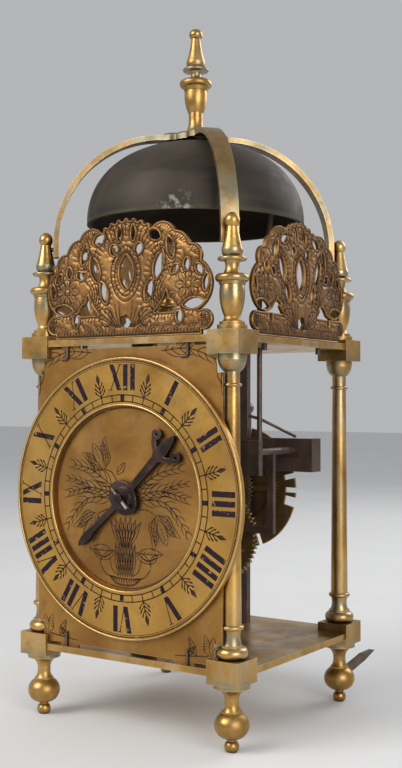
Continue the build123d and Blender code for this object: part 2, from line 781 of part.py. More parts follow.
def draw_fret(half_width, centre):
    """Draws a fret on the open sketch, standing on the top plate about a centre line."""
    unit = fret_height
    wide = half_width / fret_half_width
    with Locations((centre, roof_z)):
        with Locations((0, fret_strip * unit / 2)):
            Rectangle(2 * fret_strip_half * half_width, fret_strip * unit)
        with Locations((0, arch.up * unit)):
            Circle(arch.radius * unit)
            with PolarLocations(arch.radius * unit, arch_scallops, start_angle=0,
                                angular_range=180, endpoint=True):
                Circle(scallop_r)
        for side in (-1, 1):
            for lobe in side_lobes:
                with Locations((side * lobe.across * half_width, lobe.up * unit)):
                    Circle(lobe.radius * unit * wide)
        with Locations((0, 0.548 * unit)):
            add(lens(almond_wide * wide, almond_tall), mode=Mode.SUBTRACT)
        with Locations((0, 0.134 * unit)):
            RegularPolygon(0.062 * unit, 5, mode=Mode.SUBTRACT)
        for side in (-1, 1):
            for hole in side_openings:
                with Locations(Location((side * hole.across * half_width, hole.up * unit, 0),
                                        (0, 0, -side * hole.lean))):
                    add(lens(hole.wide * unit * wide, hole.tall * unit), mode=Mode.SUBTRACT)


with BuildPart() as fret_front:
    with BuildSketch(facing(front_fret_y + fret_thickness)) as pattern:
        draw_fret(fret_half_width, 0)
    extrude(amount=fret_thickness)
    with BuildSketch(Plane.XY.offset(roof_z)) as lugs:
        with Locations((0, front_lug_y)):
            with GridLocations(fret_lug_spread, 1, 2, 1):
                Rectangle(fret_lug_width, fret_lug_depth)
    extrude(amount=fret_lug_height)
    for x, y in lug_places[:2]:
        upright_bar(x, y, roof_z, fret_screw_d + 0.1, fret_lug_height, Mode.SUBTRACT)
save(fret_front, "fret_front")

for side, name, places in ((-1, "fret_left", lug_places[2:4]), (1, "fret_right", lug_places[4:])):
    inner_face = side * (side_fret_x - fret_thickness)
    with BuildPart() as fret_side:
        with BuildSketch(Plane.YZ.offset(inner_face)) as pattern:
            draw_fret(fret_half_width * side_fret_share, axis_y)
        extrude(amount=side * fret_thickness)
        with BuildSketch(Plane.XY.offset(roof_z)) as lugs:
            with Locations((side * side_lug_x, axis_y)):
                with GridLocations(1, side_lug_spread, 1, 2):
                    Rectangle(fret_lug_depth, fret_lug_width)
        extrude(amount=fret_lug_height)
        for x, y in places:
            upright_bar(x, y, roof_z, fret_screw_d + 0.1, fret_lug_height, Mode.SUBTRACT)
    save(fret_side, name)

with BuildPart() as fret_screws:
    for x, y in lug_places:
        upright_bar(x, y, ceiling_z - fret_screw_below, fret_screw_d,
                    fret_screw_below + plate_thickness + fret_lug_height)
        upright_bar(x, y, roof_z + fret_lug_height, fret_screw_head_d, fret_screw_head_height)
save(fret_screws, "fret_screws")

# ---- dial plate, chapter ring and what holds them ------------------------------------------------
dial_low_z = floor_z + dial_edge_gap
dial_high_z = ceiling_z - dial_edge_gap
dial_back_y = axis_y + dial_offset
dial_front_y = dial_back_y - dial_thickness
ring_front_y = dial_front_y - ring_thickness
block_gap = 0.3
moulding_gap = 0.4
with BuildPart() as dial_plate:
    with BuildSketch(facing(dial_back_y)) as sheet:
        with Locations((0, (dial_low_z + dial_high_z) / 2)):
            Rectangle(dial_width, dial_high_z - dial_low_z)
        for z in (floor_z + dial_edge_gap / 2, ceiling_z - dial_edge_gap / 2):
            with Locations((0, z)):
                with GridLocations(2 * latch_x - 4, 1, 2, 1):
                    Rectangle(tongue_width, dial_edge_gap)
        with Locations((0, dial_z)):
            Circle(hand_arbor_d / 2 + 0.3, mode=Mode.SUBTRACT)
            for turned in (45, 135, 225, 315):
                with Locations((ring_rivet_circle_d / 2 * cos(radians(turned)),
                                ring_rivet_circle_d / 2 * sin(radians(turned)))):
                    Circle(ring_rivet_d / 2 + 0.02, mode=Mode.SUBTRACT)
        for side in (-1, 1):
            for block_z in (foot_height, top_block_z):
                with Locations((side * post_x, block_z + block_height / 2)):
                    Rectangle(block_side + 2 * block_gap, block_height + 2 * block_gap,
                              mode=Mode.SUBTRACT)
    extrude(amount=dial_thickness)
    low_ring_z = pillar_z + base_rise + fillet_rise + low_neck_rise
    high_ring_z = low_ring_z + low_ring_rise + shaft_rise
    cap_z = high_ring_z + high_ring_rise + high_neck_rise
    wide_mouldings = (
        (pillar_z, base_rise + fillet_rise, pillar_base_d),
        (low_ring_z, low_ring_rise, low_ring_d),
        (high_ring_z, high_ring_rise, high_ring_d),
        (cap_z, cap_bowl_rise + cap_lip_rise, pillar_cap_d),
    )
    for x, y in (CORNERS["front_left"], CORNERS["front_right"]):
        for z, rise, d in wide_mouldings:
            upright_bar(x, y, z - moulding_gap, d + 2 * moulding_gap, rise + 2 * moulding_gap,
                        Mode.SUBTRACT)
save(dial_plate, "dial_plate")

ring_lip = 1.0
with BuildPart() as chapter_ring:
    with BuildSketch(facing(dial_front_y)) as annulus:
        with Locations((0, dial_z)):
            Circle(ring_d / 2)
            Circle(ring_bore_d / 2, mode=Mode.SUBTRACT)
            for turned in (45, 135, 225, 315):
                with Locations((ring_rivet_circle_d / 2 * cos(radians(turned)),
                                ring_rivet_circle_d / 2 * sin(radians(turned)))):
                    Circle(ring_rivet_d / 2 + 0.02, mode=Mode.SUBTRACT)
    extrude(amount=ring_thickness)
    chamfer(chapter_ring.edges().filter_by(GeomType.CIRCLE).group_by(SortBy.RADIUS)[-1]
            .sort_by(Axis.Y)[0], length=ring_lip * 0.4)
save(chapter_ring, "chapter_ring")

rivet_head = 1.0
with BuildPart() as ring_rivets:
    for turned in (45, 135, 225, 315):
        rivet_x = ring_rivet_circle_d / 2 * cos(radians(turned))
        rivet_z = dial_z + ring_rivet_circle_d / 2 * sin(radians(turned))
        lying_bar(rivet_x, rivet_z, ring_rivet_d, ring_front_y, dial_back_y)
        lying_bar(rivet_x, rivet_z, ring_rivet_d + 1.4, dial_back_y, dial_back_y + rivet_head)
save(ring_rivets, "ring_rivets")

latch_y = dial_front_y - latch_wire_d / 2 - 0.05
for side, name in ((-1, "dial_latch_left"), (1, "dial_latch_right")):
    hook_z = ceiling_z - latch_drop + latch_wire_d / 2
    with BuildPart() as latch:
        wire([
            (side * latch_x, latch_y, roof_z), (side * latch_x, latch_y, hook_z),
            (side * latch_x - latch_toe, latch_y, hook_z),
        ], latch_wire_d, latch_wire_d)
    save(latch, name)

with BuildPart() as dial_pins:
    for side in (-1, 1):
        upright_bar(side * latch_x, latch_y, bottom_plate_z, latch_wire_d,
                    plate_thickness + latch_drop)
save(dial_pins, "dial_pins")

# ---- hour hand and its arbor --------------------------------------------------------------------
# The hand is drawn pointing up, as (across, along) from its centre, then turned to the hour.
hand_bar_width = 4.4
hand_leaf_width = 6.4
hand_leaf_base = 36.0
hand_shoulder = 30.0
knot_d = 6.8
knot_along = 33.0
scroll_d = 5.8
scroll_eye_d = 1.8
scroll_across = 8.6
scroll_along = 40.4
hook_width = 2.8
tail_swell = 2.3
hub_flattening = 2.0
tail_lean = 2.6
hand_back_y = axis_y + hand_offset
hand_front_y = hand_back_y - hand_thickness
with BuildPart() as hour_hand:
    with BuildSketch(Plane(origin=(0, hand_back_y, dial_z), z_dir=(0, -1, 0),
                           x_dir=(cos(radians(hand_angle)), 0, -sin(radians(hand_angle))))):
        Ellipse(hand_hub_d / 2, hand_hub_d / 2 - hub_flattening)
        with Locations((0, hand_shoulder / 2)):
            Trapezoid(hand_bar_width, hand_shoulder, 91)
        with Locations((-tail_lean / 2, -tail_length / 2 + 1.5)):
            Rectangle(hand_bar_width * 0.7, tail_length - 3.0, rotation=-degrees(tail_lean / tail_length))
        with Locations((-tail_lean * 0.8, -tail_length + 7.5)):
            Ellipse(tail_swell, 7.5)
        with Locations((0, knot_along)):
            Circle(knot_d / 2)
        with BuildLine():
            leaf_tip = (0, hand_length)
            leaf_root = (0, hand_shoulder - hand_bar_width)
            ThreePointArc(leaf_root, (-hand_leaf_width / 2, hand_leaf_base), leaf_tip)
            ThreePointArc(leaf_tip, (hand_leaf_width / 2, hand_leaf_base), leaf_root)
        make_face()
        for side in (-1, 1):
            with BuildLine() as hook:
                foot_of_hook = (side * hand_bar_width / 4, knot_along)
                ThreePointArc(foot_of_hook, (side * scroll_across * 0.72, scroll_along - 4.6),
                              (side * scroll_across, scroll_along - scroll_eye_d))
            trace(hook.line, line_width=hook_width)
            with Locations((side * scroll_across, scroll_along)):
                Circle(scroll_d / 2)
                Circle(scroll_eye_d / 2, mode=Mode.SUBTRACT)
    extrude(amount=hand_thickness)
    lying_bar(0, dial_z, hand_collar_d, hand_front_y - hand_collar_height, hand_front_y)
    lying_bar(0, dial_z, hand_arbor_d + 0.1, hand_front_y - hand_collar_height, hand_back_y,
              Mode.SUBTRACT)
save(hour_hand, "hour_hand")

pin_y = axis_y + hand_pin_offset
pin_taper = 0.35
pin_lean = Vector(1, 0, -1).normalized()
with BuildPart() as hand_pin:
    pin_start = Vector(0, pin_y, dial_z) - pin_lean * hand_pin_length / 2
    with BuildSketch(Plane(origin=pin_start, z_dir=pin_lean)) as pin_end:
        Circle(hand_pin_d / 2 - pin_taper)
    with BuildSketch(Plane(origin=pin_start + pin_lean * hand_pin_length, z_dir=pin_lean)) as head:
        Circle(hand_pin_d / 2)
    loft()
save(hand_pin, "hand_pin")

with BuildPart() as hand_arbor:
    lying_bar(0, dial_z, hand_arbor_d, axis_y + arbor_end_offset, front_bar_front - end_shake)
    lying_bar(0, dial_z, great_pivot_d, front_bar_front - end_shake, front_bar_back)
    with Locations(Plane(origin=(0, pin_y, dial_z), z_dir=pin_lean)):
        Cylinder(hand_pin_d / 2 + 0.05, 2 * hand_arbor_d, mode=Mode.SUBTRACT)
save(hand_arbor, "hand_arbor")

# ---- the three movement bars --------------------------------------------------------------------
bar_middle_z = (floor_z + ceiling_z) / 2
arm_middle_z = arm_low_z + arm_height / 2
pallet_hole_d = arbor_d + 2.0


def movement_bar(front, reach_left, reach_right, height, middle):
    """Adds an upright bar with tenons through both plates and one arm to each side."""
    with BuildSketch(facing(front + bar_thickness)) as upright:
        with Locations((0, bar_middle_z)):
            Rectangle(bar_width, ceiling_z - floor_z)
        with Locations((0, (bottom_plate_z + floor_z) / 2)):
            Rectangle(tenon_width, plate_thickness)
        with Locations((0, (ceiling_z + roof_z + tenon_rise) / 2)):
            Rectangle(tenon_width, plate_thickness + tenon_rise)
        with Locations(((reach_right - reach_left) / 2, middle)):
            Rectangle(reach_left + reach_right, height)
        with Locations((0, roof_z + wedge_height / 2 + 0.1)):
            Rectangle(wedge_thickness + 0.1, wedge_height + 0.5, mode=Mode.SUBTRACT)
    extrude(upright.sketch, amount=bar_thickness)


def pivot_hole(x, z, d, front):
    """Bores a bar for a pivot."""
    lying_bar(x, z, d + 2 * pivot_play, front, front + bar_thickness, Mode.SUBTRACT)


with BuildPart() as front_bar:
    movement_bar(front_bar_front, front_arm_reach, bar_width / 2, front_arm_height, lever_arbor_z)
    pivot_hole(0, dial_z, great_pivot_d, front_bar_front)
    pivot_hole(0, going_great_z, great_pivot_d, front_bar_front)
    pivot_hole(0, second_z, pivot_d, front_bar_front)
    pivot_hole(0, escape_z, pivot_d, front_bar_front)
    pivot_hole(0, pallet_z, pivot_d, front_bar_front)
    pivot_hole(-lever_arbor_x, lever_arbor_z, lever_pivot_d, front_bar_front)
save(front_bar, "front_bar")

with BuildPart() as centre_bar:
    movement_bar(centre_bar_front, centre_arm_reach, centre_arm_reach, arm_height, arm_middle_z)
    for z, d in ((going_great_z, great_pivot_d), (second_z, pivot_d), (escape_z, pivot_d),
                 (strike_great_z, great_pivot_d), (warning_z, pivot_d)):
        pivot_hole(0, z, d, centre_bar_front)
    pivot_hole(hoop_arbor_x, hoop_z, pivot_d, centre_bar_front)
    pivot_hole(fly_arbor_x, fly_z, pivot_d, centre_bar_front)
    pivot_hole(lever_arbor_x, lever_arbor_z, lever_pivot_d, centre_bar_front)
    pivot_hole(-lever_arbor_x, lever_arbor_z, lever_pivot_d, centre_bar_front)
    pivot_hole(0, pallet_z, pallet_hole_d, centre_bar_front)
save(centre_bar, "centre_bar")

groove_depth = 1.5
with BuildPart() as rear_bar:
    movement_bar(rear_bar_front, centre_arm_reach, rear_arm_reach, arm_height, arm_middle_z)
    with BuildSketch(facing(rear_bar_front + groove_depth)) as groove:
        with Locations(((arm_slot_start + arm_slot_end) / 2, arm_middle_z)):
            Rectangle(arm_slot_end - arm_slot_start, arm_slot_height)
    extrude(groove.sketch, amount=groove_depth, mode=Mode.SUBTRACT)
    with Locations((rear_arm_reach - arm_flange_thickness / 2, rear_bar_back, arm_middle_z)):
        Box(arm_flange_thickness, arm_flange, arm_height,
            align=(Align.CENTER, Align.MIN, Align.CENTER))
    lying_bar(0, count_z, count_stud_d, rear_bar_back, count_wheel_y + count_wheel_thickness + 1.2)
    pivot_hole(0, strike_great_z, great_pivot_d, rear_bar_front)
    pivot_hole(hoop_arbor_x, hoop_z, pivot_d, rear_bar_front)
    pivot_hole(0, warning_z, pivot_d, rear_bar_front)
    pivot_hole(fly_arbor_x, fly_z, pivot_d, rear_bar_front)
    pivot_hole(lever_arbor_x, lever_arbor_z, lever_pivot_d, rear_bar_front)
    pivot_hole(-lever_arbor_x, lever_arbor_z, lever_pivot_d, rear_bar_front)
    pivot_hole(0, pallet_z, pivot_d, rear_bar_front)
save(rear_bar, "rear_bar")

wedge_slope = 0.5
with BuildPart() as bar_wedges:
    for offset in (front_bar_offset, centre_bar_offset, rear_bar_offset):
        middle = axis_y + offset
        with BuildSketch(Plane.YZ.offset(-wedge_thickness / 2)) as side_view:
            with BuildLine():
                Polyline(
                    (middle - wedge_length / 2, roof_z),
                    (middle + wedge_length / 2, roof_z),
                    (middle + wedge_length / 2, roof_z + wedge_height - wedge_slope),
                    (middle - wedge_length / 2, roof_z + wedge_height + wedge_slope),
                    close=True,
                )
            make_face()
        extrude(side_view.sketch, amount=wedge_thickness)
save(bar_wedges, "bar_wedges")


# ---- going train --------------------------------------------------------------------------------
def rope_pulley(x, z, front, bore_d):
    """Adds a grooved pulley that turns on a great arbor."""
    flange = 1.6
    lying_bar(x, z, pulley_groove_d, front, front + pulley_width)
    lying_bar(x, z, pulley_d, front, front + flange)
    lying_bar(x, z, pulley_d, front + pulley_width - flange, front + pulley_width)
    lying_bar(x, z, bore_d + 2 * pivot_play, front, front + pulley_width, Mode.SUBTRACT)


seat_play = 0.02
great_hub_d = 14.0
hub_d = 8.0
up = pi / 2
pinion_overlap = 2.0
second_pinion_phase = meshed(up, 0, great_mesh.wheel, great_mesh.pinion)
escape_pinion_phase = meshed(up, 0, second_mesh.wheel, second_mesh.pinion)
dial_wheel_phase = meshed(up, 0, motion_work.pinion, motion_work.wheel)

with BuildPart() as going_great_wheel:
    wheel(0, going_great_z, going_great_y, great_wheel_thickness, great_mesh, 0, great_hub_d)
    lying_bar(0, going_great_z, great_arbor_d + 2 * seat_play, going_great_y,
              going_great_y + great_wheel_thickness, Mode.SUBTRACT)
save(going_great_wheel, "going_great_wheel")

with BuildPart() as going_great_arbor:
    spindle(0, going_great_z, front_bar_back, centre_bar_front, great_arbor_d, great_pivot_d)
    lying_bar(0, going_great_z, great_pivot_d, dial_wheel_y, front_bar_front)
    pinion(0, going_great_z, dial_wheel_y - 0.4, dial_wheel_y + wheel_thickness + 0.4,
           motion_work, 0)
save(going_great_arbor, "going_great_arbor")

with BuildPart() as going_rope_pulley:
    rope_pulley(0, going_great_z, going_pulley_y, great_arbor_d)
save(going_rope_pulley, "going_rope_pulley")

with BuildPart() as second_wheel:
    spindle(0, second_z, front_bar_back, centre_bar_front, arbor_d, pivot_d)
    wheel(0, second_z, second_wheel_y, wheel_thickness, second_mesh, 0, hub_d)
    pinion(0, second_z, going_great_y - pinion_overlap,
           going_great_y + great_wheel_thickness + pinion_overlap, great_mesh,
           second_pinion_phase)
save(second_wheel, "second_wheel")

escape_r = escape_wheel_d / 2
escape_tooth_height = 3.6
escape_rim = 2.4
with BuildPart() as escape_wheel:
    spindle(0, escape_z, front_bar_back, centre_bar_front, arbor_d, pivot_d)
    pinion(0, escape_z, second_wheel_y - pinion_overlap,
           second_wheel_y + wheel_thickness + pinion_overlap, second_mesh, escape_pinion_phase)
    escape_root = escape_r - escape_tooth_height
    teeth = []
    for tooth in range(escape_teeth):
        for r, share in ((escape_root, 0.05), (escape_r, 0.42), (escape_r, 0.50),
                         (escape_root, 0.62)):
            angle = (tooth + share) * 2 * pi / escape_teeth
            teeth.append((r * cos(angle), escape_z + r * sin(angle)))
    with BuildSketch(facing(escape_wheel_y + escape_thickness)) as crossed:
        with BuildLine():
            Polyline(teeth, close=True)
        make_face()
        with Locations((0, escape_z)):
            Circle(escape_root - escape_rim, mode=Mode.SUBTRACT)
            Circle(hub_d / 2)
            Rectangle(2 * escape_root - escape_rim, spoke_width)
            Rectangle(spoke_width, 2 * escape_root - escape_rim)
    extrude(crossed.sketch, amount=escape_thickness)
save(escape_wheel, "escape_wheel")

pallet_front = escape_wheel_y + (escape_thickness - pallet_thickness) / 2
pallet_half_angle = pi / escape_teeth * pallet_span_teeth
nib_r = escape_r + pallet_clear
shoulder_r = nib_r + 7.0
pallet_arm_width = 3.0
with BuildPart() as pallets:
    nibs = []
    for side, r in ((-1, nib_r), (-1, shoulder_r), (0, pallet_drop), (1, shoulder_r), (1, nib_r)):
        angle = side * pallet_half_angle
        nibs.append((r * sin(angle), escape_z + r * cos(angle)))
    flat_lever(nibs, pallet_arm_width, pallet_front, pallet_front + pallet_thickness)
    lying_bar(0, pallet_z, hub_d, pallet_front, pallet_front + pallet_thickness)
    lying_bar(0, pallet_z, arbor_d + 2 * seat_play, pallet_front,
              pallet_front + pallet_thickness, Mode.SUBTRACT)
save(pallets, "pallets")

crutch_length = 64.0
crutch_width = 3.4
crutch_thickness = 1.6
fork_gap = 3.0
fork_depth = 7.0
with BuildPart() as pallet_arbor:
    spindle(0, pallet_z, front_bar_back, rear_bar_front, arbor_d, pivot_d)
    lying_bar(0, pallet_z, pivot_d, rear_bar_back, crutch_y)
    lying_bar(0, pallet_z, hub_d - 1, crutch_y - crutch_thickness, crutch_y + crutch_thickness)
    flat_lever([(0, pallet_z), (0, pallet_z - crutch_length)], crutch_width, crutch_y,
               crutch_y + crutch_thickness)
    with Locations((0, crutch_y, pallet_z - crutch_length)):
        Box(fork_gap + 2 * crutch_width, crutch_thickness, crutch_width,
            align=(Align.CENTER, Align.MIN, Align.CENTER))
        with GridLocations(fork_gap + crutch_width, 1, 2, 1):
            Box(crutch_width, fork_depth, crutch_width,
                align=(Align.CENTER, Align.MIN, Align.CENTER))
save(pallet_arbor, "pallet_arbor")

with BuildPart() as dial_wheel:
    wheel(0, dial_z, dial_wheel_y, wheel_thickness, motion_work, dial_wheel_phase, great_hub_d)
    star_r = star_d / 2
    star = []
    for point in range(2 * star_points):
        r = star_r if point % 2 == 0 else star_r * 0.72
        angle = up + point * pi / star_points
        star.append((r * cos(angle), dial_z + r * sin(angle)))
    with BuildSketch(facing(star_y + star_thickness)) as star_face:
        with BuildLine():
            Polyline(star, close=True)
        make_face()
    extrude(star_face.sketch, amount=star_thickness)
    lying_bar(0, dial_z, hand_arbor_d + 2 * seat_play, dial_wheel_y, star_y + star_thickness,
              Mode.SUBTRACT)
save(dial_wheel, "dial_wheel")

# ---- striking train -----------------------------------------------------------------------------
strike_centre = (0, strike_great_z)
hoop_centre = (hoop_arbor_x, hoop_z)
warning_centre = (0, warning_z)
fly_centre = (fly_arbor_x, fly_z)
hoop_pinion_phase = meshed(aim(strike_centre, hoop_centre), 0, great_mesh.wheel, great_mesh.pinion)
warning_pinion_phase = meshed(aim(hoop_centre, warning_centre), 0, hoop_mesh.wheel,
                              hoop_mesh.pinion)
fly_pinion_phase = meshed(aim(warning_centre, fly_centre), 0, warning_mesh.wheel,
                          warning_mesh.pinion)
count_gear_phase = meshed(up, 0, count_mesh.pinion, count_mesh.wheel)

with BuildPart() as strike_great_wheel:
    wheel(0, strike_great_z, strike_great_y, great_wheel_thickness, great_mesh, 0, great_hub_d,
          pin_rim_width)
    for pin in range(hammer_pins):
        angle = (pin + 0.5) * 2 * pi / hammer_pins
        lying_bar(hammer_pin_circle_d / 2 * cos(angle),
                  strike_great_z + hammer_pin_circle_d / 2 * sin(angle), hammer_pin_d,
                  strike_great_y - hammer_pin_length, strike_great_y)
    lying_bar(0, strike_great_z, great_arbor_d + 2 * seat_play, strike_great_y,
              strike_great_y + great_wheel_thickness, Mode.SUBTRACT)
save(strike_great_wheel, "strike_great_wheel")

with BuildPart() as strike_great_arbor:
    spindle(0, strike_great_z, centre_bar_back, rear_bar_front, great_arbor_d, great_pivot_d)
    pinion(0, strike_great_z, rear_bar_back + end_shake, count_wheel_y - end_shake, count_mesh, 0)
    lying_bar(0, strike_great_z, great_pivot_d, rear_bar_back, count_wheel_y - end_shake)
save(strike_great_arbor, "strike_great_arbor")

with BuildPart() as strike_rope_pulley:
    rope_pulley(0, strike_great_z, strike_pulley_y, great_arbor_d)
save(strike_rope_pulley, "strike_rope_pulley")

with BuildPart() as hoop_wheel:
    spindle(*hoop_centre, centre_bar_back, rear_bar_front, arbor_d, pivot_d)
    wheel(*hoop_centre, hoop_wheel_y, wheel_thickness, hoop_mesh, 0, hub_d)
    pinion(*hoop_centre, strike_great_y - pinion_overlap,
           strike_great_y + great_wheel_thickness + pinion_overlap, great_mesh,
           hoop_pinion_phase)
    hoop_turn = degrees(aim(hoop_centre, (-lever_arbor_x, lever_arbor_z)))
    with BuildSketch(facing(hoop_wheel_y + wheel_thickness + hoop_depth)) as hoop_face:
        with Locations(hoop_centre):
            Circle(hoop_d / 2)
            Circle(hoop_d / 2 - hoop_wall, mode=Mode.SUBTRACT)
            with PolarLocations(hoop_d / 2, 1, start_angle=hoop_turn):
                Rectangle(4 * hoop_wall, hoop_gap, mode=Mode.SUBTRACT)
    extrude(hoop_face.sketch, amount=hoop_depth)
save(hoop_wheel, "hoop_wheel")

warning_pin_d = 1.6
warning_pin_r = 14.0
warning_pin_length = 2.5
with BuildPart() as warning_wheel:
    spindle(*warning_centre, centre_bar_back, rear_bar_front, arbor_d, pivot_d)
    wheel(*warning_centre, warning_wheel_y, wheel_thickness, warning_mesh, 0, hub_d)
    pinion(*warning_centre, hoop_wheel_y - pinion_overlap,
           hoop_wheel_y + wheel_thickness + pinion_overlap, hoop_mesh, warning_pinion_phase)
    lying_bar(warning_pin_r, warning_z, warning_pin_d, warning_wheel_y + wheel_thickness,
              warning_wheel_y + wheel_thickness + warning_pin_length)
save(warning_wheel, "warning_wheel")

fly_pipe_d = 5.0
with BuildPart() as fly:
    spindle(*fly_centre, centre_bar_back, rear_bar_front, arbor_d - 0.8, pivot_d)
    pinion(*fly_centre, warning_wheel_y - pinion_overlap,
           warning_wheel_y + wheel_thickness + pinion_overlap, warning_mesh, fly_pinion_phase)
    lying_bar(*fly_centre, fly_pipe_d, fly_y, fly_y + fly_length)
    with Locations((fly_arbor_x, fly_y + fly_length / 2, fly_z)):
        Box(fly_width, fly_length, fly_thickness)
save(fly, "fly")

strokes = [sum(range(hour + 1)) for hour in range(1, 13)]
with BuildPart() as count_wheel:
    wheel(0, count_z, count_gear_y, wheel_thickness, count_mesh, count_gear_phase, great_hub_d)
    with BuildSketch(facing(count_wheel_y + count_wheel_thickness)) as plate_face:
        with Locations((0, count_z)):
            Circle(count_wheel_d / 2)
            for total in strokes:
                with PolarLocations(count_wheel_d / 2, 1,
                                    start_angle=count_start + total * 360 / blows):
                    Rectangle(2 * count_notch_depth, count_notch_width, mode=Mode.SUBTRACT)
    extrude(plate_face.sketch, amount=count_wheel_thickness)
    lying_bar(0, count_z, count_stud_d + 2 * pivot_play, count_gear_y,
              count_wheel_y + count_wheel_thickness, Mode.SUBTRACT)
save(count_wheel, "count_wheel")

# ---- hammer -------------------------------------------------------------------------------------
hammer_head_z = bell_rim_z + 10.0
hammer_tip_x = bell_d / 2 - bell_wall - hammer_gap
hammer_top = Vector(hammer_tip_x - hammer_head_length / 2, hammer_y, hammer_head_z)
hammer_bend = Vector(lever_arbor_x, hammer_y, hammer_bend_z)
rod_direction = (hammer_top - hammer_bend).normalized()
rod_end = hammer_top - rod_direction * 1.0
tail_y = strike_great_y - hammer_pin_length
tail_thickness = 3.0
tail_z = strike_great_z + 6.0
toe_x = hammer_pin_circle_d / 2 + hammer_pin_d / 2 + lever_clear + 0.3
stop_d = 1.8
stop_rise = 19.0
stop_rest = (1.0, rear_bar_front + 1.0, arm_low_z + arm_height + stop_d / 2 + 0.4)
with BuildPart() as hammer:
    lying_bar(lever_arbor_x, lever_arbor_z, lever_arbor_d, centre_bar_back + end_shake,
              rear_bar_front - end_shake)
    lying_bar(lever_arbor_x, lever_arbor_z, lever_pivot_d, centre_bar_front, rear_bar_back)
    wire([Vector(lever_arbor_x, hammer_y, lever_arbor_z), hammer_bend, rod_end], hammer_rod_d, 20)
    wire([Vector(lever_arbor_x - 6.5, hammer_y - 1.5, lever_arbor_z + stop_rise + 2.0),
          Vector(lever_arbor_x + 0.2, hammer_y + 1.0, lever_arbor_z + stop_rise),
          Vector(lever_arbor_x + stop_rest[0], stop_rest[1], stop_rest[2])], stop_d, 5)
    flat_lever([(lever_arbor_x, lever_arbor_z), (lever_arbor_x, tail_z), (toe_x, tail_z)],
               lever_width, tail_y, tail_y + tail_thickness)
save(hammer, "hammer")

with BuildPart() as hammer_head:
    with Locations(Location(hammer_top, (0, 90, 0))):
        Cylinder(hammer_head_d / 2, hammer_head_length)
    fillet(hammer_head.edges().filter_by(GeomType.CIRCLE), radius=1.4)
    with Locations(Plane(origin=rod_end, z_dir=rod_direction)):
        Cylinder(hammer_rod_d / 2 + 0.05, 2 * hammer_head_d,
                 align=(Align.CENTER, Align.CENTER, Align.MAX), mode=Mode.SUBTRACT)
save(hammer_head, "hammer_head")

# ---- detent lever -------------------------------------------------------------------------------
boss_d = 7.0
detent_thickness = 1.6
lifting_y = star_y + 0.4
lifting_thickness = 1.0
hoop_detent_y = hoop_wheel_y + wheel_thickness + 0.9
warning_detent_y = warning_wheel_y + wheel_thickness + 0.8
lever_centre = (-lever_arbor_x, lever_arbor_z)


def detent(centre, keep_out, front, thickness):
    """Adds an arm of the detent lever that points at a centre and stops short of a radius."""
    span = hypot(centre[0] - lever_centre[0], centre[1] - lever_centre[1])
    share = 1 - (keep_out + lever_clear) / span
    tip = [start + (end - start) * share for start, end in zip(lever_centre, centre)]
    flat_lever([lever_centre, tuple(tip)], lever_width, front, front + thickness)
    lying_bar(*lever_centre, boss_d, front, front + thickness)


with BuildPart() as detent_lever:
    for start, end in ((front_bar_back, centre_bar_front), (centre_bar_back, rear_bar_front)):
        lying_bar(*lever_centre, lever_arbor_d, start + end_shake, end - end_shake)
    lying_bar(*lever_centre, lever_pivot_d, lifting_y, count_wheel_y + count_wheel_thickness)
    detent((0, dial_z), star_d / 2, lifting_y, lifting_thickness)
    detent(hoop_centre, hoop_d / 2, hoop_detent_y, detent_thickness)
    detent(warning_centre, warning_pin_r + warning_pin_d / 2, warning_detent_y, 1.4)
    detent((0, count_z), count_wheel_d / 2, count_wheel_y, count_wheel_thickness)
save(detent_lever, "detent_lever")

# ---- wall spurs and hanging hoop ----------------------------------------------------------------
spur_point = 14.0
spur_tip_z = spur_low_z + spur_rise
spur_start_y = axis_y + post_y + foot_ball_d / 2 + 0.15
spur_tip_y = axis_y + spur_reach
with BuildPart() as wall_spurs:
    for side in (-1, 1):
        with BuildSketch(Plane.YZ.offset(side * post_x - spur_side / 2)) as side_view:
            with BuildLine():
                Polyline(
                    (spur_start_y, spur_low_z - spur_side / 2),
                    (spur_tip_y - spur_point, spur_tip_z - spur_side / 2 - 2.0),
                    (spur_tip_y, spur_tip_z),
                    (spur_tip_y - spur_point, spur_tip_z + spur_side / 2 - 2.0),
                    (spur_start_y, spur_low_z + spur_side / 2),
                    close=True,
                )
            make_face()
        extrude(side_view.sketch, amount=spur_side)
        lying_bar(side * post_x, spur_low_z, spur_tenon_d,
                  spur_start_y - spur_tenon_length, spur_start_y)
save(wall_spurs, "wall_spurs")

hanger_z = roof_z + 3.4
hanger_x = hanger_width / 2
hanger_tip_y = axis_y + hanger_reach - hanger_wire_d / 2
with BuildPart() as hanging_hoop:
    wire([
        (hanger_x, hanger_rivet_y, ceiling_z), (hanger_x, hanger_rivet_y, hanger_z),
        (hanger_x, hanger_tip_y, hanger_z), (-hanger_x, hanger_tip_y, hanger_z),
        (-hanger_x, hanger_rivet_y, hanger_z), (-hanger_x, hanger_rivet_y, ceiling_z),
    ], hanger_wire_d, [3.0, 12.0, 12.0, 3.0])
save(hanging_hoop, "hanging_hoop")
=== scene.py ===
"""Looks for the lantern clock: aged brass, engraved dial and frets, dark bell and iron movement."""
import json
from math import atan2, ceil, cos, hypot, pi, radians, sin
from random import Random

import bpy
from mathutils import Matrix, Vector
from mathutils.bvhtree import BVHTree
from mathutils.geometry import delaunay_2d_cdt
from mathutils.kdtree import KDTree


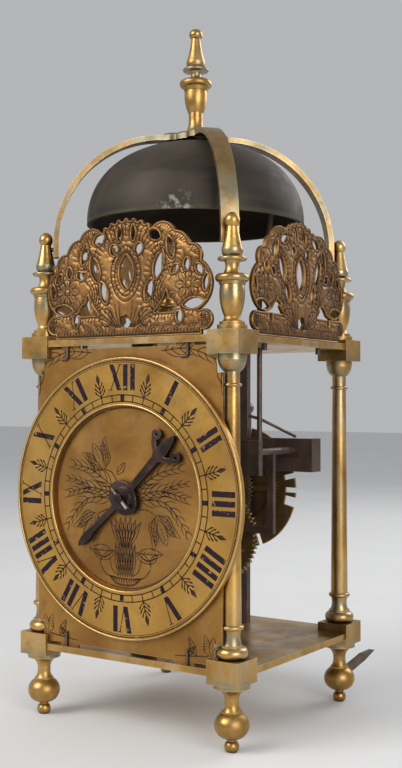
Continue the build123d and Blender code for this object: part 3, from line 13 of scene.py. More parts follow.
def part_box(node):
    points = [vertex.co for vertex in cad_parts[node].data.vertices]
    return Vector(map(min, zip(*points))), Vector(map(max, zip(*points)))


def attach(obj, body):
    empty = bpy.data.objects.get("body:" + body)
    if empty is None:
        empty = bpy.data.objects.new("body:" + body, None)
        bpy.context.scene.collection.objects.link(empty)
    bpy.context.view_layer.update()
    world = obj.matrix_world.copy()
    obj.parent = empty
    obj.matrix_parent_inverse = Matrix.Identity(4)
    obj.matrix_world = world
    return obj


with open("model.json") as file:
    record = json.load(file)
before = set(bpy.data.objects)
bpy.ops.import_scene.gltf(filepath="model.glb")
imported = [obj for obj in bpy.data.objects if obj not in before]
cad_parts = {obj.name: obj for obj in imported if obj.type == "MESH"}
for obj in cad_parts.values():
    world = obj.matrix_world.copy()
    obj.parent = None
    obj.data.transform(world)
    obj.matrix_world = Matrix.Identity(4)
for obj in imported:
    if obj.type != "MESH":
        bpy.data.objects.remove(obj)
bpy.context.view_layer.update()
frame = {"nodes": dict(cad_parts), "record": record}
nodes = frame["nodes"]
MM = 0.001

# ---- camera -------------------------------------------------------------------------------------
PHOTO_HEIGHT = 768
FOCAL_LENGTH_PX = 1119.27
CAMERA_PLACE = Vector((373.2, -560.8, 177.4)) * MM
CAMERA_YAW = radians(34.09)
CAMERA_PITCH = radians(1.05)
CAMERA_ROLL = radians(0.09)
SENSOR_HEIGHT = 36
NEAREST_SEEN = 0.01


def add_camera():
    """Stands the camera where the clock fills the frame as it does seen from its right."""
    lens = bpy.data.cameras.new("camera")
    lens.sensor_fit = "VERTICAL"
    lens.sensor_height = SENSOR_HEIGHT
    lens.lens = FOCAL_LENGTH_PX * SENSOR_HEIGHT / PHOTO_HEIGHT
    lens.clip_start = NEAREST_SEEN
    camera = bpy.data.objects.new("camera", lens)
    turn = Matrix.Rotation(CAMERA_YAW, 4, "Z") @ Matrix.Rotation(pi / 2 + CAMERA_PITCH, 4, "X")
    roll = Matrix.Rotation(CAMERA_ROLL, 4, "Z")
    camera.matrix_world = Matrix.Translation(CAMERA_PLACE) @ turn @ roll
    bpy.context.scene.collection.objects.link(camera)
    bpy.context.scene.camera = camera


# ---- materials ----------------------------------------------------------------------------------
MIX_SHARE, MIX_FIRST, MIX_SECOND, MIX_RESULT = 0, 6, 7, 2
FLAT_AGREEMENT, SHARP_AGREEMENT = 0.985, 0.80
OPEN_SKY, CLOSED_SKY = 0.85, 0.30


class Finish:
    """A node material under construction: its tree, its shader and the object's own coordinates."""

    def __init__(self, name):
        self.material = bpy.data.materials.new(name)
        self.material.use_nodes = True
        self.tree = self.material.node_tree
        self.shader = self.tree.nodes["Principled BSDF"]
        self.place = self.add("ShaderNodeTexCoord").outputs["Object"]

    def add(self, kind, inputs=None, **settings):
        """Adds a node; its inputs are numbers, colours or other nodes' sockets."""
        node = self.tree.nodes.new(kind)
        for key, value in settings.items():
            setattr(node, key, value)
        for key, value in (inputs or {}).items():
            self.feed(node.inputs[key], value)
        return node

    def feed(self, socket, value):
        """Links a socket, or sets it to a number or colour."""
        if isinstance(value, bpy.types.NodeSocket):
            self.tree.links.new(value, socket)
        elif isinstance(value, tuple) and len(value) == 3 and socket.type == "RGBA":
            socket.default_value = (*value, 1)
        else:
            socket.default_value = value

    def noise(self, scale, detail, stretch=(1, 1, 1), roughness=0.55):
        """Cloudy noise with this many features to the metre."""
        where = self.place
        if stretch != (1, 1, 1):
            where = self.add("ShaderNodeMapping", {"Vector": where, "Scale": stretch}).outputs[0]
        return self.add("ShaderNodeTexNoise", {
            "Vector": where, "Scale": scale, "Detail": detail, "Roughness": roughness,
        }).outputs["Fac"]

    def spread(self, value, low, high, to_low=0.0, to_high=1.0):
        """Maps a value's range to another, held at both ends."""
        return self.add("ShaderNodeMapRange", {
            "Value": value, "From Min": low, "From Max": high, "To Min": to_low, "To Max": to_high,
        }).outputs[0]

    def times(self, a, b):
        """The product of two values."""
        return self.add("ShaderNodeMath", {0: a, 1: b}, operation="MULTIPLY").outputs[0]

    def mix(self, share, a, b):
        """A colour between a and b."""
        node = self.add("ShaderNodeMix", data_type="RGBA")
        self.feed(node.inputs[MIX_SHARE], share)
        self.feed(node.inputs[MIX_FIRST], a)
        self.feed(node.inputs[MIX_SECOND], b)
        return node.outputs[MIX_RESULT]

    def edges(self, radius):
        """How sharply the surface turns within a radius: 0 on flats, near 1 on sharp edges."""
        rounded = self.add("ShaderNodeBevel", {"Radius": radius}, samples=4).outputs[0]
        true = self.add("ShaderNodeNewGeometry").outputs["Normal"]
        agree = self.add("ShaderNodeVectorMath", {0: rounded, 1: true}, operation="DOT_PRODUCT")
        return self.spread(agree.outputs["Value"], FLAT_AGREEMENT, SHARP_AGREEMENT)

    def recesses(self, reach):
        """How closed-in the surface is: 1 deep in a corner, 0 in the open."""
        open_sky = self.add("ShaderNodeAmbientOcclusion", {"Distance": reach}, samples=6)
        return self.spread(open_sky.outputs["AO"], OPEN_SKY, CLOSED_SKY)

    def height(self):
        """The height above the floor."""
        return self.add("ShaderNodeSeparateXYZ", {0: self.place}).outputs[2]

    def near_height(self, middle, reach):
        """1 at a height, fading to 0 at a distance from it."""
        off = self.add("ShaderNodeMath", {0: self.height(), 1: middle}, operation="SUBTRACT")
        away = self.add("ShaderNodeMath", {0: off.outputs[0]}, operation="ABSOLUTE").outputs[0]
        return self.spread(away, reach * 0.4, reach, 1.0, 0.0)

    def bump(self, relief, distance, rounding=0.0):
        """Gives the shader fine relief, over edges that look rounded by wear."""
        bumped = self.add("ShaderNodeBump", {"Height": relief, "Distance": distance})
        if rounding:
            soft = self.add("ShaderNodeBevel", {"Radius": rounding}, samples=6).outputs[0]
            self.feed(bumped.inputs["Normal"], soft)
        self.feed(self.shader.inputs["Normal"], bumped.outputs[0])

    def done(self, colour, roughness, metallic):
        """Connects the finished colour and roughness, and returns the material."""
        self.feed(self.shader.inputs["Base Color"], colour)
        self.feed(self.shader.inputs["Roughness"], roughness)
        self.feed(self.shader.inputs["Metallic"], metallic)
        return self.material


VERDIGRIS = (0.235, 0.255, 0.185)
# dark grime colour: dirt specks, and also painted shade in corners
GRIME_AND_SHADE = (0.050, 0.030, 0.016)
# pale colour of the haze patches: partly patina haze, partly a painted sheen
PALE_HAZE_AND_SHEEN = (0.54, 0.415, 0.235)
EDGE_WEAR = 0.55 * MM
# reach and strength of the painted shade (with grime) that ambient occlusion lays in corners
SHADE_AND_GRIME_REACH = 4.0 * MM
SHADE_AND_GRIME_SHARE = 0.75
GREEN_SHARE = 0.62
BRASS_METALLIC = 0.92


def aged_brass(name, base, deep, bright, gloss=(0.30, 0.52), green_heights=(), wear=0.75,
               haze_and_sheen=0.35, pitting=0.00006):
    """Old handled brass: cloudy patina, pale haze that is partly a painted sheen, rubbed bright
    edges, grime and painted shade in corners, green at joints.
    """
    f = Finish(name)
    clouds = f.spread(f.noise(24, 5), 0.36, 0.62)
    blotches = f.spread(f.noise(95, 4), 0.46, 0.70, 0.0, 0.7)
    # pale patches streaked up the height: partly patina haze, partly a painted sheen, strongest on
    # the pillars
    bloom = f.spread(f.noise(58, 5, (1, 1, 0.3)), 0.48, 0.68, 0.0, haze_and_sheen)
    specks = f.spread(f.noise(620, 2), 0.68, 0.76, 0.0, 0.5)
    colour = f.mix(clouds, deep, base)
    colour = f.mix(blotches, colour, deep)
    colour = f.mix(bloom, colour, PALE_HAZE_AND_SHEEN)
    colour = f.mix(specks, colour, GRIME_AND_SHADE)
    rubbed = f.times(f.edges(EDGE_WEAR), f.spread(f.noise(90, 3), 0.30, 0.60, 0.35, wear))
    # painted shade: ambient occlusion pulls corners and grooves towards the dark grime colour,
    # grime and shade in one
    colour = f.mix(f.times(f.recesses(SHADE_AND_GRIME_REACH), SHADE_AND_GRIME_SHARE), colour, GRIME_AND_SHADE)
    for middle, reach in green_heights:
        band = f.near_height(middle * MM, reach * MM)
        growth = f.times(band, f.spread(f.noise(160, 4), 0.40, 0.53))
        colour = f.mix(f.times(growth, GREEN_SHARE), colour, VERDIGRIS)
    colour = f.mix(rubbed, colour, bright)
    roughness = f.spread(f.noise(60, 4), 0.35, 0.65, *gloss)
    f.bump(f.noise(420, 4), pitting)
    return f.done(colour, roughness, BRASS_METALLIC)


IRON_EDGE = (0.30, 0.26, 0.22)
IRON_EDGE_WEAR = 0.5 * MM
IRON_EDGE_SHARE = 0.35
IRON_PITTING = 0.00018
IRON_METALLIC = 0.75


def old_iron(name, base, rust, gloss=(0.42, 0.68), rounding=0.0):
    """Dark wrought iron with brown rust in clouds and a pitted skin."""
    f = Finish(name)
    rusty = f.spread(f.noise(70, 5), 0.44, 0.66)
    colour = f.mix(rusty, base, rust)
    colour = f.mix(f.times(f.edges(IRON_EDGE_WEAR), IRON_EDGE_SHARE), colour, IRON_EDGE)
    f.bump(f.noise(380, 5), IRON_PITTING, rounding)
    return f.done(colour, f.spread(f.noise(110, 3), 0.35, 0.65, *gloss), IRON_METALLIC)


BELL_DARK = (0.027, 0.020, 0.015)
BELL_BROWN = (0.044, 0.033, 0.024)
BELL_PALE = (0.082, 0.062, 0.042)
BELL_RIM = (0.060, 0.056, 0.026)
BELL_CHIP = (0.36, 0.33, 0.27)
BELL_RIM_MIDDLE, BELL_RIM_REACH = 0.6 * MM, 1.9 * MM
BELL_RIM_SHARE = 0.7
WORN_RIGHT, WORN_FORWARD, WORN_UP = 27 * MM, 58 * MM, 0.5 * MM
WORN_CORE, WORN_REACH, WORN_SHARE = 4 * MM, 12 * MM, 0.8
BELL_GROOVES = 0.00009
BELL_METALLIC = 0.55


def bell_metal():
    """A dark bell: turned streaks, paler clouds, a greenish rim line and a chipped front patch."""
    f = Finish("bell_metal")
    bands = f.noise(7, 4, (3, 3, 26), 0.5)
    chips = f.spread(f.noise(190, 5), 0.50, 0.60)
    low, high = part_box("bell")
    colour = f.mix(f.spread(bands, 0.34, 0.66), BELL_DARK, BELL_BROWN)
    colour = f.mix(f.spread(f.noise(30, 4), 0.42, 0.70, 0.0, 0.7), colour, BELL_PALE)
    rim = f.near_height(low.z + BELL_RIM_MIDDLE, BELL_RIM_REACH)
    colour = f.mix(f.times(rim, BELL_RIM_SHARE), colour, BELL_RIM)
    middle = (low + high) / 2
    worn = (middle.x + WORN_RIGHT, middle.y - WORN_FORWARD, low.z + WORN_UP)
    away = f.add("ShaderNodeVectorMath", {0: f.place, 1: worn}, operation="DISTANCE")
    patch = f.spread(away.outputs["Value"], WORN_CORE, WORN_REACH, WORN_SHARE, 0.0)
    colour = f.mix(f.times(chips, patch), colour, BELL_CHIP)
    f.bump(bands, BELL_GROOVES)
    return f.done(colour, f.spread(f.noise(60, 3), 0.35, 0.65, 0.52, 0.68), BELL_METALLIC)


WAX_GRAIN = 0.00004


def wax(name, colour, worn_to):
    """Dark filling in a cut line, worn through in small spots."""
    f = Finish(name)
    f.shader.inputs["Specular IOR Level"].default_value = 0.15
    worn = f.spread(f.noise(330, 4), 0.59, 0.68, 0.0, 0.85)
    f.bump(f.noise(900, 2), WAX_GRAIN)
    roughness = f.spread(f.noise(200, 2), 0.3, 0.7, 0.55, 0.75)
    return f.done(f.mix(worn, colour, worn_to), roughness, 0.0)


PAPER_DARK, PAPER_LIGHT = (0.70, 0.70, 0.70), (0.74, 0.74, 0.74)


def floor_paper():
    """A pale matt floor with the faintest mottling."""
    f = Finish("floor_paper")
    tone = f.mix(f.spread(f.noise(6, 2), 0.3, 0.7), PAPER_DARK, PAPER_LIGHT)
    return f.done(tone, f.spread(f.noise(30, 2), 0.3, 0.7, 0.75, 0.85), 0.0)


BRIGHT_BRASS = (0.78, 0.60, 0.30)
FINISHES = {
    "frame_brass": aged_brass(
        "frame_brass", (0.58, 0.345, 0.098), (0.27, 0.150, 0.045), BRIGHT_BRASS,
        gloss=(0.24, 0.44), haze_and_sheen=0.75,
        green_heights=((57, 6), (199, 9), (236, 7), (255, 5), (35, 4), (339, 4), (374, 5))),
    "strap_brass": aged_brass(
        "strap_brass", (0.37, 0.235, 0.098), (0.19, 0.120, 0.055), BRIGHT_BRASS,
        haze_and_sheen=0.12, green_heights=((289, 15), (334, 8))),
    "fret_brass": aged_brass(
        "fret_brass", (0.33, 0.175, 0.058), (0.16, 0.076, 0.028), (0.74, 0.50, 0.20),
        gloss=(0.36, 0.54), wear=0.8, haze_and_sheen=0.08, pitting=0.00012),
    "dial_brass": aged_brass(
        "dial_brass", (0.41, 0.215, 0.054), (0.24, 0.115, 0.030), BRIGHT_BRASS,
        gloss=(0.34, 0.52), haze_and_sheen=0.10),
    "ring_brass": aged_brass(
        "ring_brass", (0.52, 0.295, 0.068), (0.37, 0.195, 0.044), (0.88, 0.66, 0.30),
        gloss=(0.30, 0.44), haze_and_sheen=0.15),
    "bell_metal": bell_metal(),
    "movement_brass": aged_brass(
        "movement_brass", (0.32, 0.205, 0.080), (0.15, 0.092, 0.040), (0.66, 0.50, 0.25),
        gloss=(0.40, 0.60), wear=0.6),
    "wrought_iron": old_iron("wrought_iron", (0.100, 0.074, 0.062), (0.165, 0.105, 0.074)),
}
# brighter, glossier brass for the ring's lips: partly burnish, partly a painted highlight
LIP_BRASS_HIGHLIGHT = aged_brass(
    "lip_brass_highlight", (0.66, 0.43, 0.15), (0.48, 0.29, 0.09), (0.95, 0.78, 0.45),
    gloss=(0.22, 0.34), pitting=0.00002)
HAND_IRON = old_iron(
    "hand_iron", (0.030, 0.018, 0.016), (0.088, 0.052, 0.040), (0.24, 0.40), rounding=1.0 * MM)
PIN_STEEL = old_iron("pin_steel", (0.30, 0.26, 0.21), (0.12, 0.08, 0.05), (0.28, 0.45))
NUMERAL_WAX = wax("numeral_wax", (0.016, 0.008, 0.013), (0.30, 0.20, 0.09))
LINE_WAX = wax("line_wax", (0.034, 0.017, 0.009), (0.22, 0.13, 0.05))
# dark wax for the dial's cut lines, also the colour of the painted shade circle inside the ring's
# bore
CUT_WAX_AND_SHADE = wax("cut_wax_and_shade", (0.060, 0.030, 0.013), (0.20, 0.11, 0.042))
GROOVE_DIRT = wax("groove_dirt", (0.040, 0.018, 0.008), (0.13, 0.060, 0.024))


def dress_nodes():
    """Gives every CAD node the finish of its material slot, and iron small parts their own."""
    slots = {part["node"]: part["material_slot"] for part in frame["record"]["subparts"]}
    own = {"hour_hand": HAND_IRON, "hand_arbor": HAND_IRON, "hand_pin": PIN_STEEL}
    for name, node in nodes.items():
        node.data.materials.clear()
        node.data.materials.append(own.get(name, FINISHES[slots[name]]))


# ---- engraving ----------------------------------------------------------------------------------
PROUD = 0.05 * MM
CHASE_PROUD = 0.12 * MM
STEP = 0.6
CIRCLE_STEP = 1.5
FINE_ENDS = (0.15, 0.15)
FULL_ENDS = (1, 1)
PROBE_START = 2 * MM
PROBE_REACH = 3.2 * MM
RELIEF_FOOT = 0.02 * MM
RELIEF_GRID = 0.8
RELIEF_INSETS = (0.25, 0.6, 0.95, 1.3, 1.7, 2.3)
RELIEF_HEIGHT = 0.85
BEAD_WIDTH = 0.7
BEAD_TOP = 0.6
BEAD_FALL = 0.75
BORDER_IN = 1.3
BODY_SHOULDER = 1.3
BODY_RISE = 0.75
CUT_SHOULDER = 1.0
CUT_DEPTH = 0.5
INSET_PLAY = 0.12
NEAREST_POINTS = 1e-4


class Face:
    """A flat face of a CAD node that takes engraved lines, drawn in millimetres from an origin."""

    def __init__(self, node, origin, across, up, clip=True):
        self.origin = Vector(origin)
        self.across = Vector(across)
        self.up = Vector(up)
        self.out = self.across.cross(self.up)
        self.tree = BVHTree.FromPolygons(
            [v.co for v in nodes[node].data.vertices],
            [p.vertices[:] for p in nodes[node].data.polygons]) if clip else None
        self.points = []
        self.polygons = []
        self.rims = None
        self.cuts = []
        self.cut_tree = None

    def rise(self, x, y):
        """How high the chased metal stands at (x, y), in millimetres: none on a plain face."""
        if self.rims is None:
            return 0.0
        away = self.rims.find((x, y, 0))[2]
        fall = smooth_step((away - BEAD_TOP) / (BORDER_IN - BEAD_TOP)) * BEAD_FALL
        body = smooth_step((away - BORDER_IN) / BODY_SHOULDER) * BODY_RISE
        cut = 1.0
        if self.cut_tree:
            cut = smooth_step(self.cut_tree.find((x, y, 0))[2] / CUT_SHOULDER)
        height = pillow(away / BEAD_WIDTH) - fall + body
        return RELIEF_HEIGHT * height * (1 - CUT_DEPTH * (1 - cut))

    def world(self, x, y, proud):
        """The point of the room at (x, y) on the face."""
        lift = proud + self.rise(x, y) * MM
        return self.origin + (self.across * x + self.up * y) * MM + self.out * lift

    def carries(self, x, y):
        """Whether the face has metal at (x, y)."""
        if self.tree is None:
            return True
        hit = self.tree.ray_cast(self.world(x, y, PROBE_START), -self.out, PROBE_REACH)
        return hit[0] is not None

    def polygon(self, corners):
        """Fills a shape."""
        first = len(self.points)
        self.points += corners
        self.polygons.append(tuple(range(first, first + len(corners))))

    def line(self, route, width, ends=FINE_ENDS, closed=False):
        """Cuts a line along a smooth route, swelling from its ends to its middle."""
        route = smooth(route, closed)
        count = len(route)
        run = []
        for i, (x, y) in enumerate(route):
            if closed:
                before, after = route[i - 1], route[(i + 1) % count]
                swell = 1.0
            else:
                before, after = route[max(i - 1, 0)], route[min(i + 1, count - 1)]
                along = i / (count - 1)
                tip = ends[0] if along < 0.5 else ends[1]
                swell = tip + (1 - tip) * sin(pi * along)
            dx, dy = after[0] - before[0], after[1] - before[1]
            size = hypot(dx, dy) or 1.0
            half = width * swell / 2
            if self.carries(x, y):
                self.cuts.append((x, y))
                run.append(((x - dy / size * half, y + dx / size * half),
                            (x + dy / size * half, y - dx / size * half)))
            else:
                self.strip(run)
                run = []
        if closed and len(run) == count:
            run.append(run[0])
        self.strip(run)

    def strip(self, run):
        """Fills a strip between pairs of points."""
        if len(run) < 2:
            return
        first = len(self.points)
        for left, right in run:
            self.points += [left, right]
        for i in range(first, first + 2 * len(run) - 2, 2):
            self.polygons.append((i, i + 1, i + 3, i + 2))

    def circle(self, centre, radius, width):
        """Cuts a round line."""
        count = ceil(radius * 2 * pi / CIRCLE_STEP)
        turns = [2 * pi * i / count for i in range(count)]
        self.line([(centre[0] + radius * cos(t), centre[1] + radius * sin(t)) for t in turns],
                  width, FULL_ENDS, True)

    def finish(self, name, material):
        """Makes the mesh of everything cut so far; on a chased face it lies in sunken grooves."""
        proud = PROUD
        if self.rims:
            self.cut_tree = tree_of(self.cuts)
            proud = CHASE_PROUD
        points = [self.world(x, y, proud) for x, y in self.points]
        add_piece(name, points, self.polygons, material)
        self.points = []
        self.polygons = []

    def relief(self, name, loops, material, slot):
        """Covers the face with chased metal: a bead along every rim and a raised body inside."""
        flat = []
        edges = []
        for loop in loops:
            first = len(flat)
            flat += [Vector(p) for p in loop]
            edges += [(first + i, first + (i + 1) % len(loop)) for i in range(len(loop))]
        for loop in loops:
            for inset in RELIEF_INSETS:
                for x, y in inner_line(loop, inset):
                    if abs(self.rims.find((x, y, 0))[2] - inset) < INSET_PLAY:
                        flat.append(Vector((x, y)))
        flat += [Vector(p) for p in self.cuts[::2] if self.rims.find((*p, 0))[2] > BORDER_IN]
        xs = [p.x for p in flat]
        ys = [p.y for p in flat]
        deepest = RELIEF_INSETS[-1] + RELIEF_GRID / 2
        for i in range(int((max(xs) - min(xs)) / RELIEF_GRID)):
            for j in range(int((max(ys) - min(ys)) / RELIEF_GRID)):
                x = min(xs) + (i + 0.5 * (j % 2)) * RELIEF_GRID
                y = min(ys) + j * RELIEF_GRID
                if self.rims.find((x, y, 0))[2] > deepest and self.carries(x, y):
                    flat.append(Vector((x, y)))
        found, _, faces = delaunay_2d_cdt(flat, edges, [], 0, NEAREST_POINTS)[:3]
        kept = []
        for face in faces:
            x = sum(found[i].x for i in face) / len(face)
            y = sum(found[i].y for i in face) / len(face)
            if self.carries(x, y):
                kept.append(face)
        points = [self.world(x, y, RELIEF_FOOT) for x, y in found]
        add_piece(name, points, kept, material, smooth_shading=True)


def pillow(share):
    """A rounded shoulder: 0 at its foot, 1 from its top on."""
    t = min(max(share, 0.0), 1.0)
    return (1 - (1 - t) ** 2) ** 0.5


def smooth_step(share):
    """A slope that starts and ends flat: 0 before it, 1 after it."""
    t = min(max(share, 0.0), 1.0)
    return t * t * (3 - 2 * t)


def inner_line(loop, inset):
    """The points of a closed loop moved into the metal on its left."""
    count = len(loop)
    points = []
    for i, (x, y) in enumerate(loop):
        (ax, ay), (bx, by) = loop[i - 2], loop[(i + 2) % count]
        size = hypot(bx - ax, by - ay) or 1.0
        points.append((x - (by - ay) / size * inset, y + (bx - ax) / size * inset))
    return points


def tree_of(points):
    """A lookup of flat points by nearness."""
    tree = KDTree(len(points))
    for i, (x, y) in enumerate(points):
        tree.insert((x, y, 0), i)
    tree.balance()
    return tree


def add_piece(name, points, polygons, material, smooth_shading=False):
    """Adds a mesh that moves with the frame."""
    mesh = bpy.data.meshes.new(name)
    mesh.from_pydata(points, [], polygons)
    mesh.materials.append(material)
    if smooth_shading:
        for polygon in mesh.polygons:
            polygon.use_smooth = True
    piece = bpy.data.objects.new(name, mesh)
    bpy.context.scene.collection.objects.link(piece)
    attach(piece, "frame")


def smooth(route, closed=False):
    """A smooth line through the points of a route, in short steps."""
    if len(route) == 2:
        (ax, ay), (bx, by) = route
        parts = max(2, ceil(hypot(bx - ax, by - ay) / STEP))
        return [(ax + (bx - ax) * i / parts, ay + (by - ay) * i / parts) for i in range(parts + 1)]
    count = len(route)
    spans = count if closed else count - 1
    line = []
    for i in range(spans):
        if closed:
            a, b, c, d = (route[(i + k) % count] for k in (-1, 0, 1, 2))
        else:
            a, b, c, d = (route[min(max(i + k, 0), count - 1)] for k in (-1, 0, 1, 2))
        parts = max(2, ceil(hypot(c[0] - b[0], c[1] - b[1]) / STEP))
        for j in range(parts):
            t = j / parts
            line.append(tuple(0.5 * (2 * q + (r - p) * t + (2 * p - 5 * q + 4 * r - s) * t * t
                                     + (3 * q - p - 3 * r + s) * t**3)
                              for p, q, r, s in zip(a, b, c, d)))
    if not closed:
        line.append(tuple(route[-1]))
    return line


class Pen:
    """Draws ornaments on a face from a place, in a direction (degrees from up, clockwise)."""

    def __init__(self, face, x, y, turn=0.0, flip=1):
        self.face, self.x, self.y, self.flip = face, x, y, flip
        self.turn = radians(turn)

    def at(self, across, along):
        """The face's point at a point of the ornament."""
        across = across * self.flip
        c, s = cos(self.turn), sin(self.turn)
        return self.x + across * c + along * s, self.y - across * s + along * c

    def cut(self, points, width, ends=FINE_ENDS):
        """Cuts one line of the ornament."""
        self.face.line([self.at(*p) for p in points], width, ends)

    def child(self, across, along, turn):
        """A pen that starts elsewhere on the ornament."""
        x, y = self.at(across, along)
        turned = self.turn * 180 / pi + turn * self.flip
        return Pen(self.face, x, y, turned, self.flip)

    def leaf(self, length, width, bend, veins, line):
        """A pointed leaf with its rib and shading cuts on one side."""
        tip = (bend * length, length)
        for side in (-1, 1):
            self.cut([(0, 0), (side * width / 2 + bend * length * 0.2, length * 0.38),
                      (side * width * 0.34 + bend * length * 0.6, length * 0.72), tip], line)
        self.cut([(0, 0), (bend * length * 0.3, length * 0.5), tip], line * 0.7)
        for i in range(veins):
            t = (i + 1) / (veins + 1)
            root = (bend * length * t * t, length * t)
            end = (root[0] - width * 0.36 * (1 - t * 0.5), root[1] + length * 0.10)
            self.cut([root, end], line * 0.6)

    def tulip(self, s, line):
        """A tulip head of height s: a cup of three petals with shaded sides and open tips."""
        for side in (-1, 1):
            self.cut([(0, 0), (side * 0.42 * s, 0.16 * s), (side * 0.50 * s, 0.55 * s),
                      (side * 0.62 * s, 1.0 * s)], line)
            self.cut([(side * 0.62 * s, 1.0 * s), (side * 0.26 * s, 0.74 * s),
                      (side * 0.16 * s, 0.40 * s), (0, 0.06 * s)], line * 0.9)
            for i in range(4):
                t = 0.22 + 0.15 * i
                self.cut([(side * 0.44 * s, t * s), (side * 0.26 * s, (t + 0.10) * s)], line * 0.7)
        self.cut([(-0.16 * s, 0.42 * s), (-0.14 * s, 0.80 * s), (0, 1.05 * s)], line * 0.9)
        self.cut([(0.16 * s, 0.42 * s), (0.14 * s, 0.80 * s), (0, 1.05 * s)], line * 0.9)
        for i in range(4):
            self.cut([(-0.08 * s, (0.45 + 0.12 * i) * s), (0.06 * s, (0.50 + 0.12 * i) * s)],
                     line * 0.6)

    def flower(self, radius, petals, line):
        """A round flower with an eye and shaded petals."""
        for i in range(petals):
            petal = self.child(0, 0, 360 * i / petals)
            w = radius * 2.4 / petals
            for side in (-1, 1):
                petal.cut([(0, radius * 0.25), (side * w * 0.8, radius * 0.62),
                           (side * w * 0.5, radius * 0.95), (0, radius)], line)
            petal.cut([(0, radius * 0.35), (0, radius * 0.8)], line * 0.6)
        self.face.circle((self.x, self.y), radius * 0.22, line)


# ---- chapter ring -------------------------------------------------------------------------------
RING_LOW, RING_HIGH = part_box("chapter_ring")
DIAL_LOW, DIAL_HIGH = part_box("dial_plate")
DIAL_CENTRE = ((RING_LOW.x + RING_HIGH.x) / 2, (RING_LOW.z + RING_HIGH.z) / 2)
NUMERAL_FOOT, NUMERAL_TOP = 58.0, 72.0
STROKE = 3.0
HAIR = 0.55
TRACK_INNER, TRACK_OUTER = 52.0, 55.6
BORDER_RADII = ((74.3, 0.60), (73.3, 0.32))
RING_BORE_RADIUS = 49.8
LIP_WIDTH = 1.0
LIP_HEIGHT = 0.4
LIP_SINK = 0.02 * MM
LIP_SIDES = 180
LIP_CROSS = 6
LETTER_ADVANCE = {"I": 4.9, "V": 8.6, "X": 8.8}
LETTER_GAP = 1.6
HAIR_OUT = 0.8
SERIF_WIDTH = 2.4
SERIF_HALF = 0.22
SERIF_IN = 0.2
BLOCK_HALF = 1.25
BLOCK_FLARE = 1.05
TRACK_LINE = 0.62
TICK_LINE = 0.65
NUMERALS = ["XII", "I", "II", "III", "IIII", "V", "VI", "VII", "VIII", "IX", "X", "XI"]


def bar(pen, bottom, top, width):
    """Fills a straight stroke of a numeral, square to the ring at both ends."""
    half = width / 2
    pen.face.polygon([pen.at(bottom - half, NUMERAL_FOOT), pen.at(bottom + half, NUMERAL_FOOT),
                      pen.at(top + half, NUMERAL_TOP), pen.at(top - half, NUMERAL_TOP)])


def serif(pen, across, along):
    """Fills the short hairline that ends a stroke."""
    half = SERIF_WIDTH / 2
    pen.face.polygon([
        pen.at(across - half, along - SERIF_HALF), pen.at(across + half, along - SERIF_HALF),
        pen.at(across + half, along + SERIF_HALF), pen.at(across - half, along + SERIF_HALF)])


def numeral(pen, text):
    """Draws a Roman numeral with its feet to the dial's centre."""
    widths = [LETTER_ADVANCE[letter] for letter in text]
    left = -sum(widths) / 2
    for letter, width in zip(text, widths):
        middle = left + width / 2
        reach = width / 2 - LETTER_GAP
        if letter == "I":
            bar(pen, middle, middle, STROKE)
        elif letter == "V":
            bar(pen, middle, middle - reach, STROKE)
            bar(pen, middle + HAIR_OUT, middle + reach + 0.9, HAIR)
            serif(pen, middle + reach + 0.9, NUMERAL_TOP - SERIF_IN)
        else:
            bar(pen, middle + reach, middle - reach, STROKE)
            bar(pen, middle - reach - 0.4, middle + reach + 0.4, HAIR)
            serif(pen, middle + reach + 0.4, NUMERAL_TOP - SERIF_IN)
            serif(pen, middle - reach - 0.4, NUMERAL_FOOT + SERIF_IN)
        left += width


def engrave_ring():
    """Cuts numerals, quarter-hour track, borders and half-hour sprigs, and adds the ring's lips."""
    x, z = DIAL_CENTRE
    face = Face("chapter_ring", (x, RING_LOW.y, z), (1, 0, 0), (0, 0, 1), clip=False)
    for hour, text in enumerate(NUMERALS):
        numeral(Pen(face, 0, 0, 30 * hour), text)
        block = Pen(face, 0, 0, 30 * hour)
        outer = BLOCK_HALF * BLOCK_FLARE
        face.polygon([block.at(-BLOCK_HALF, TRACK_INNER), block.at(BLOCK_HALF, TRACK_INNER),
                      block.at(outer, TRACK_OUTER), block.at(-outer, TRACK_OUTER)])
    face.finish("ring_numerals", NUMERAL_WAX)
    for radius in (TRACK_INNER, TRACK_OUTER):
        face.circle((0, 0), radius, TRACK_LINE)
    for radius, width in BORDER_RADII:
        face.circle((0, 0), radius, width)
    for quarter in range(48):
        tick = Pen(face, 0, 0, 7.5 * quarter)
        if quarter % 4:
            tick.cut([(0, TRACK_INNER), (0, TRACK_OUTER)], TICK_LINE, FULL_ENDS)
        if quarter % 4 == 2:
            half_hour(tick)
    face.finish("ring_lines", LINE_WAX)
    lip("ring_bore_lip", RING_BORE_RADIUS + LIP_WIDTH / 2)
    lip("ring_rim_lip", (RING_HIGH.x - RING_LOW.x) / MM / 2 - LIP_WIDTH / 2)


def lip(name, radius):
    """A half-round bead on the ring's face in brighter, glossier brass: rubbed bright, and partly a
    painted highlight along the lip.
    """
    x, z = DIAL_CENTRE
    points = []
    polygons = []
    for i in range(LIP_SIDES):
        turn = 2 * pi * i / LIP_SIDES
        for j in range(LIP_CROSS + 1):
            lean = pi * j / LIP_CROSS
            out = (radius + LIP_WIDTH / 2 * cos(lean)) * MM
            front = RING_LOW.y + LIP_SINK - LIP_HEIGHT * MM * sin(lean)
            points.append((x + out * sin(turn), front, z + out * cos(turn)))
            if j < LIP_CROSS:
                a = i * (LIP_CROSS + 1) + j
                b = (i + 1) % LIP_SIDES * (LIP_CROSS + 1) + j
                polygons.append((a, b, b + 1, a + 1))
    add_piece(name, points, polygons, LIP_BRASS_HIGHLIGHT, smooth_shading=True)


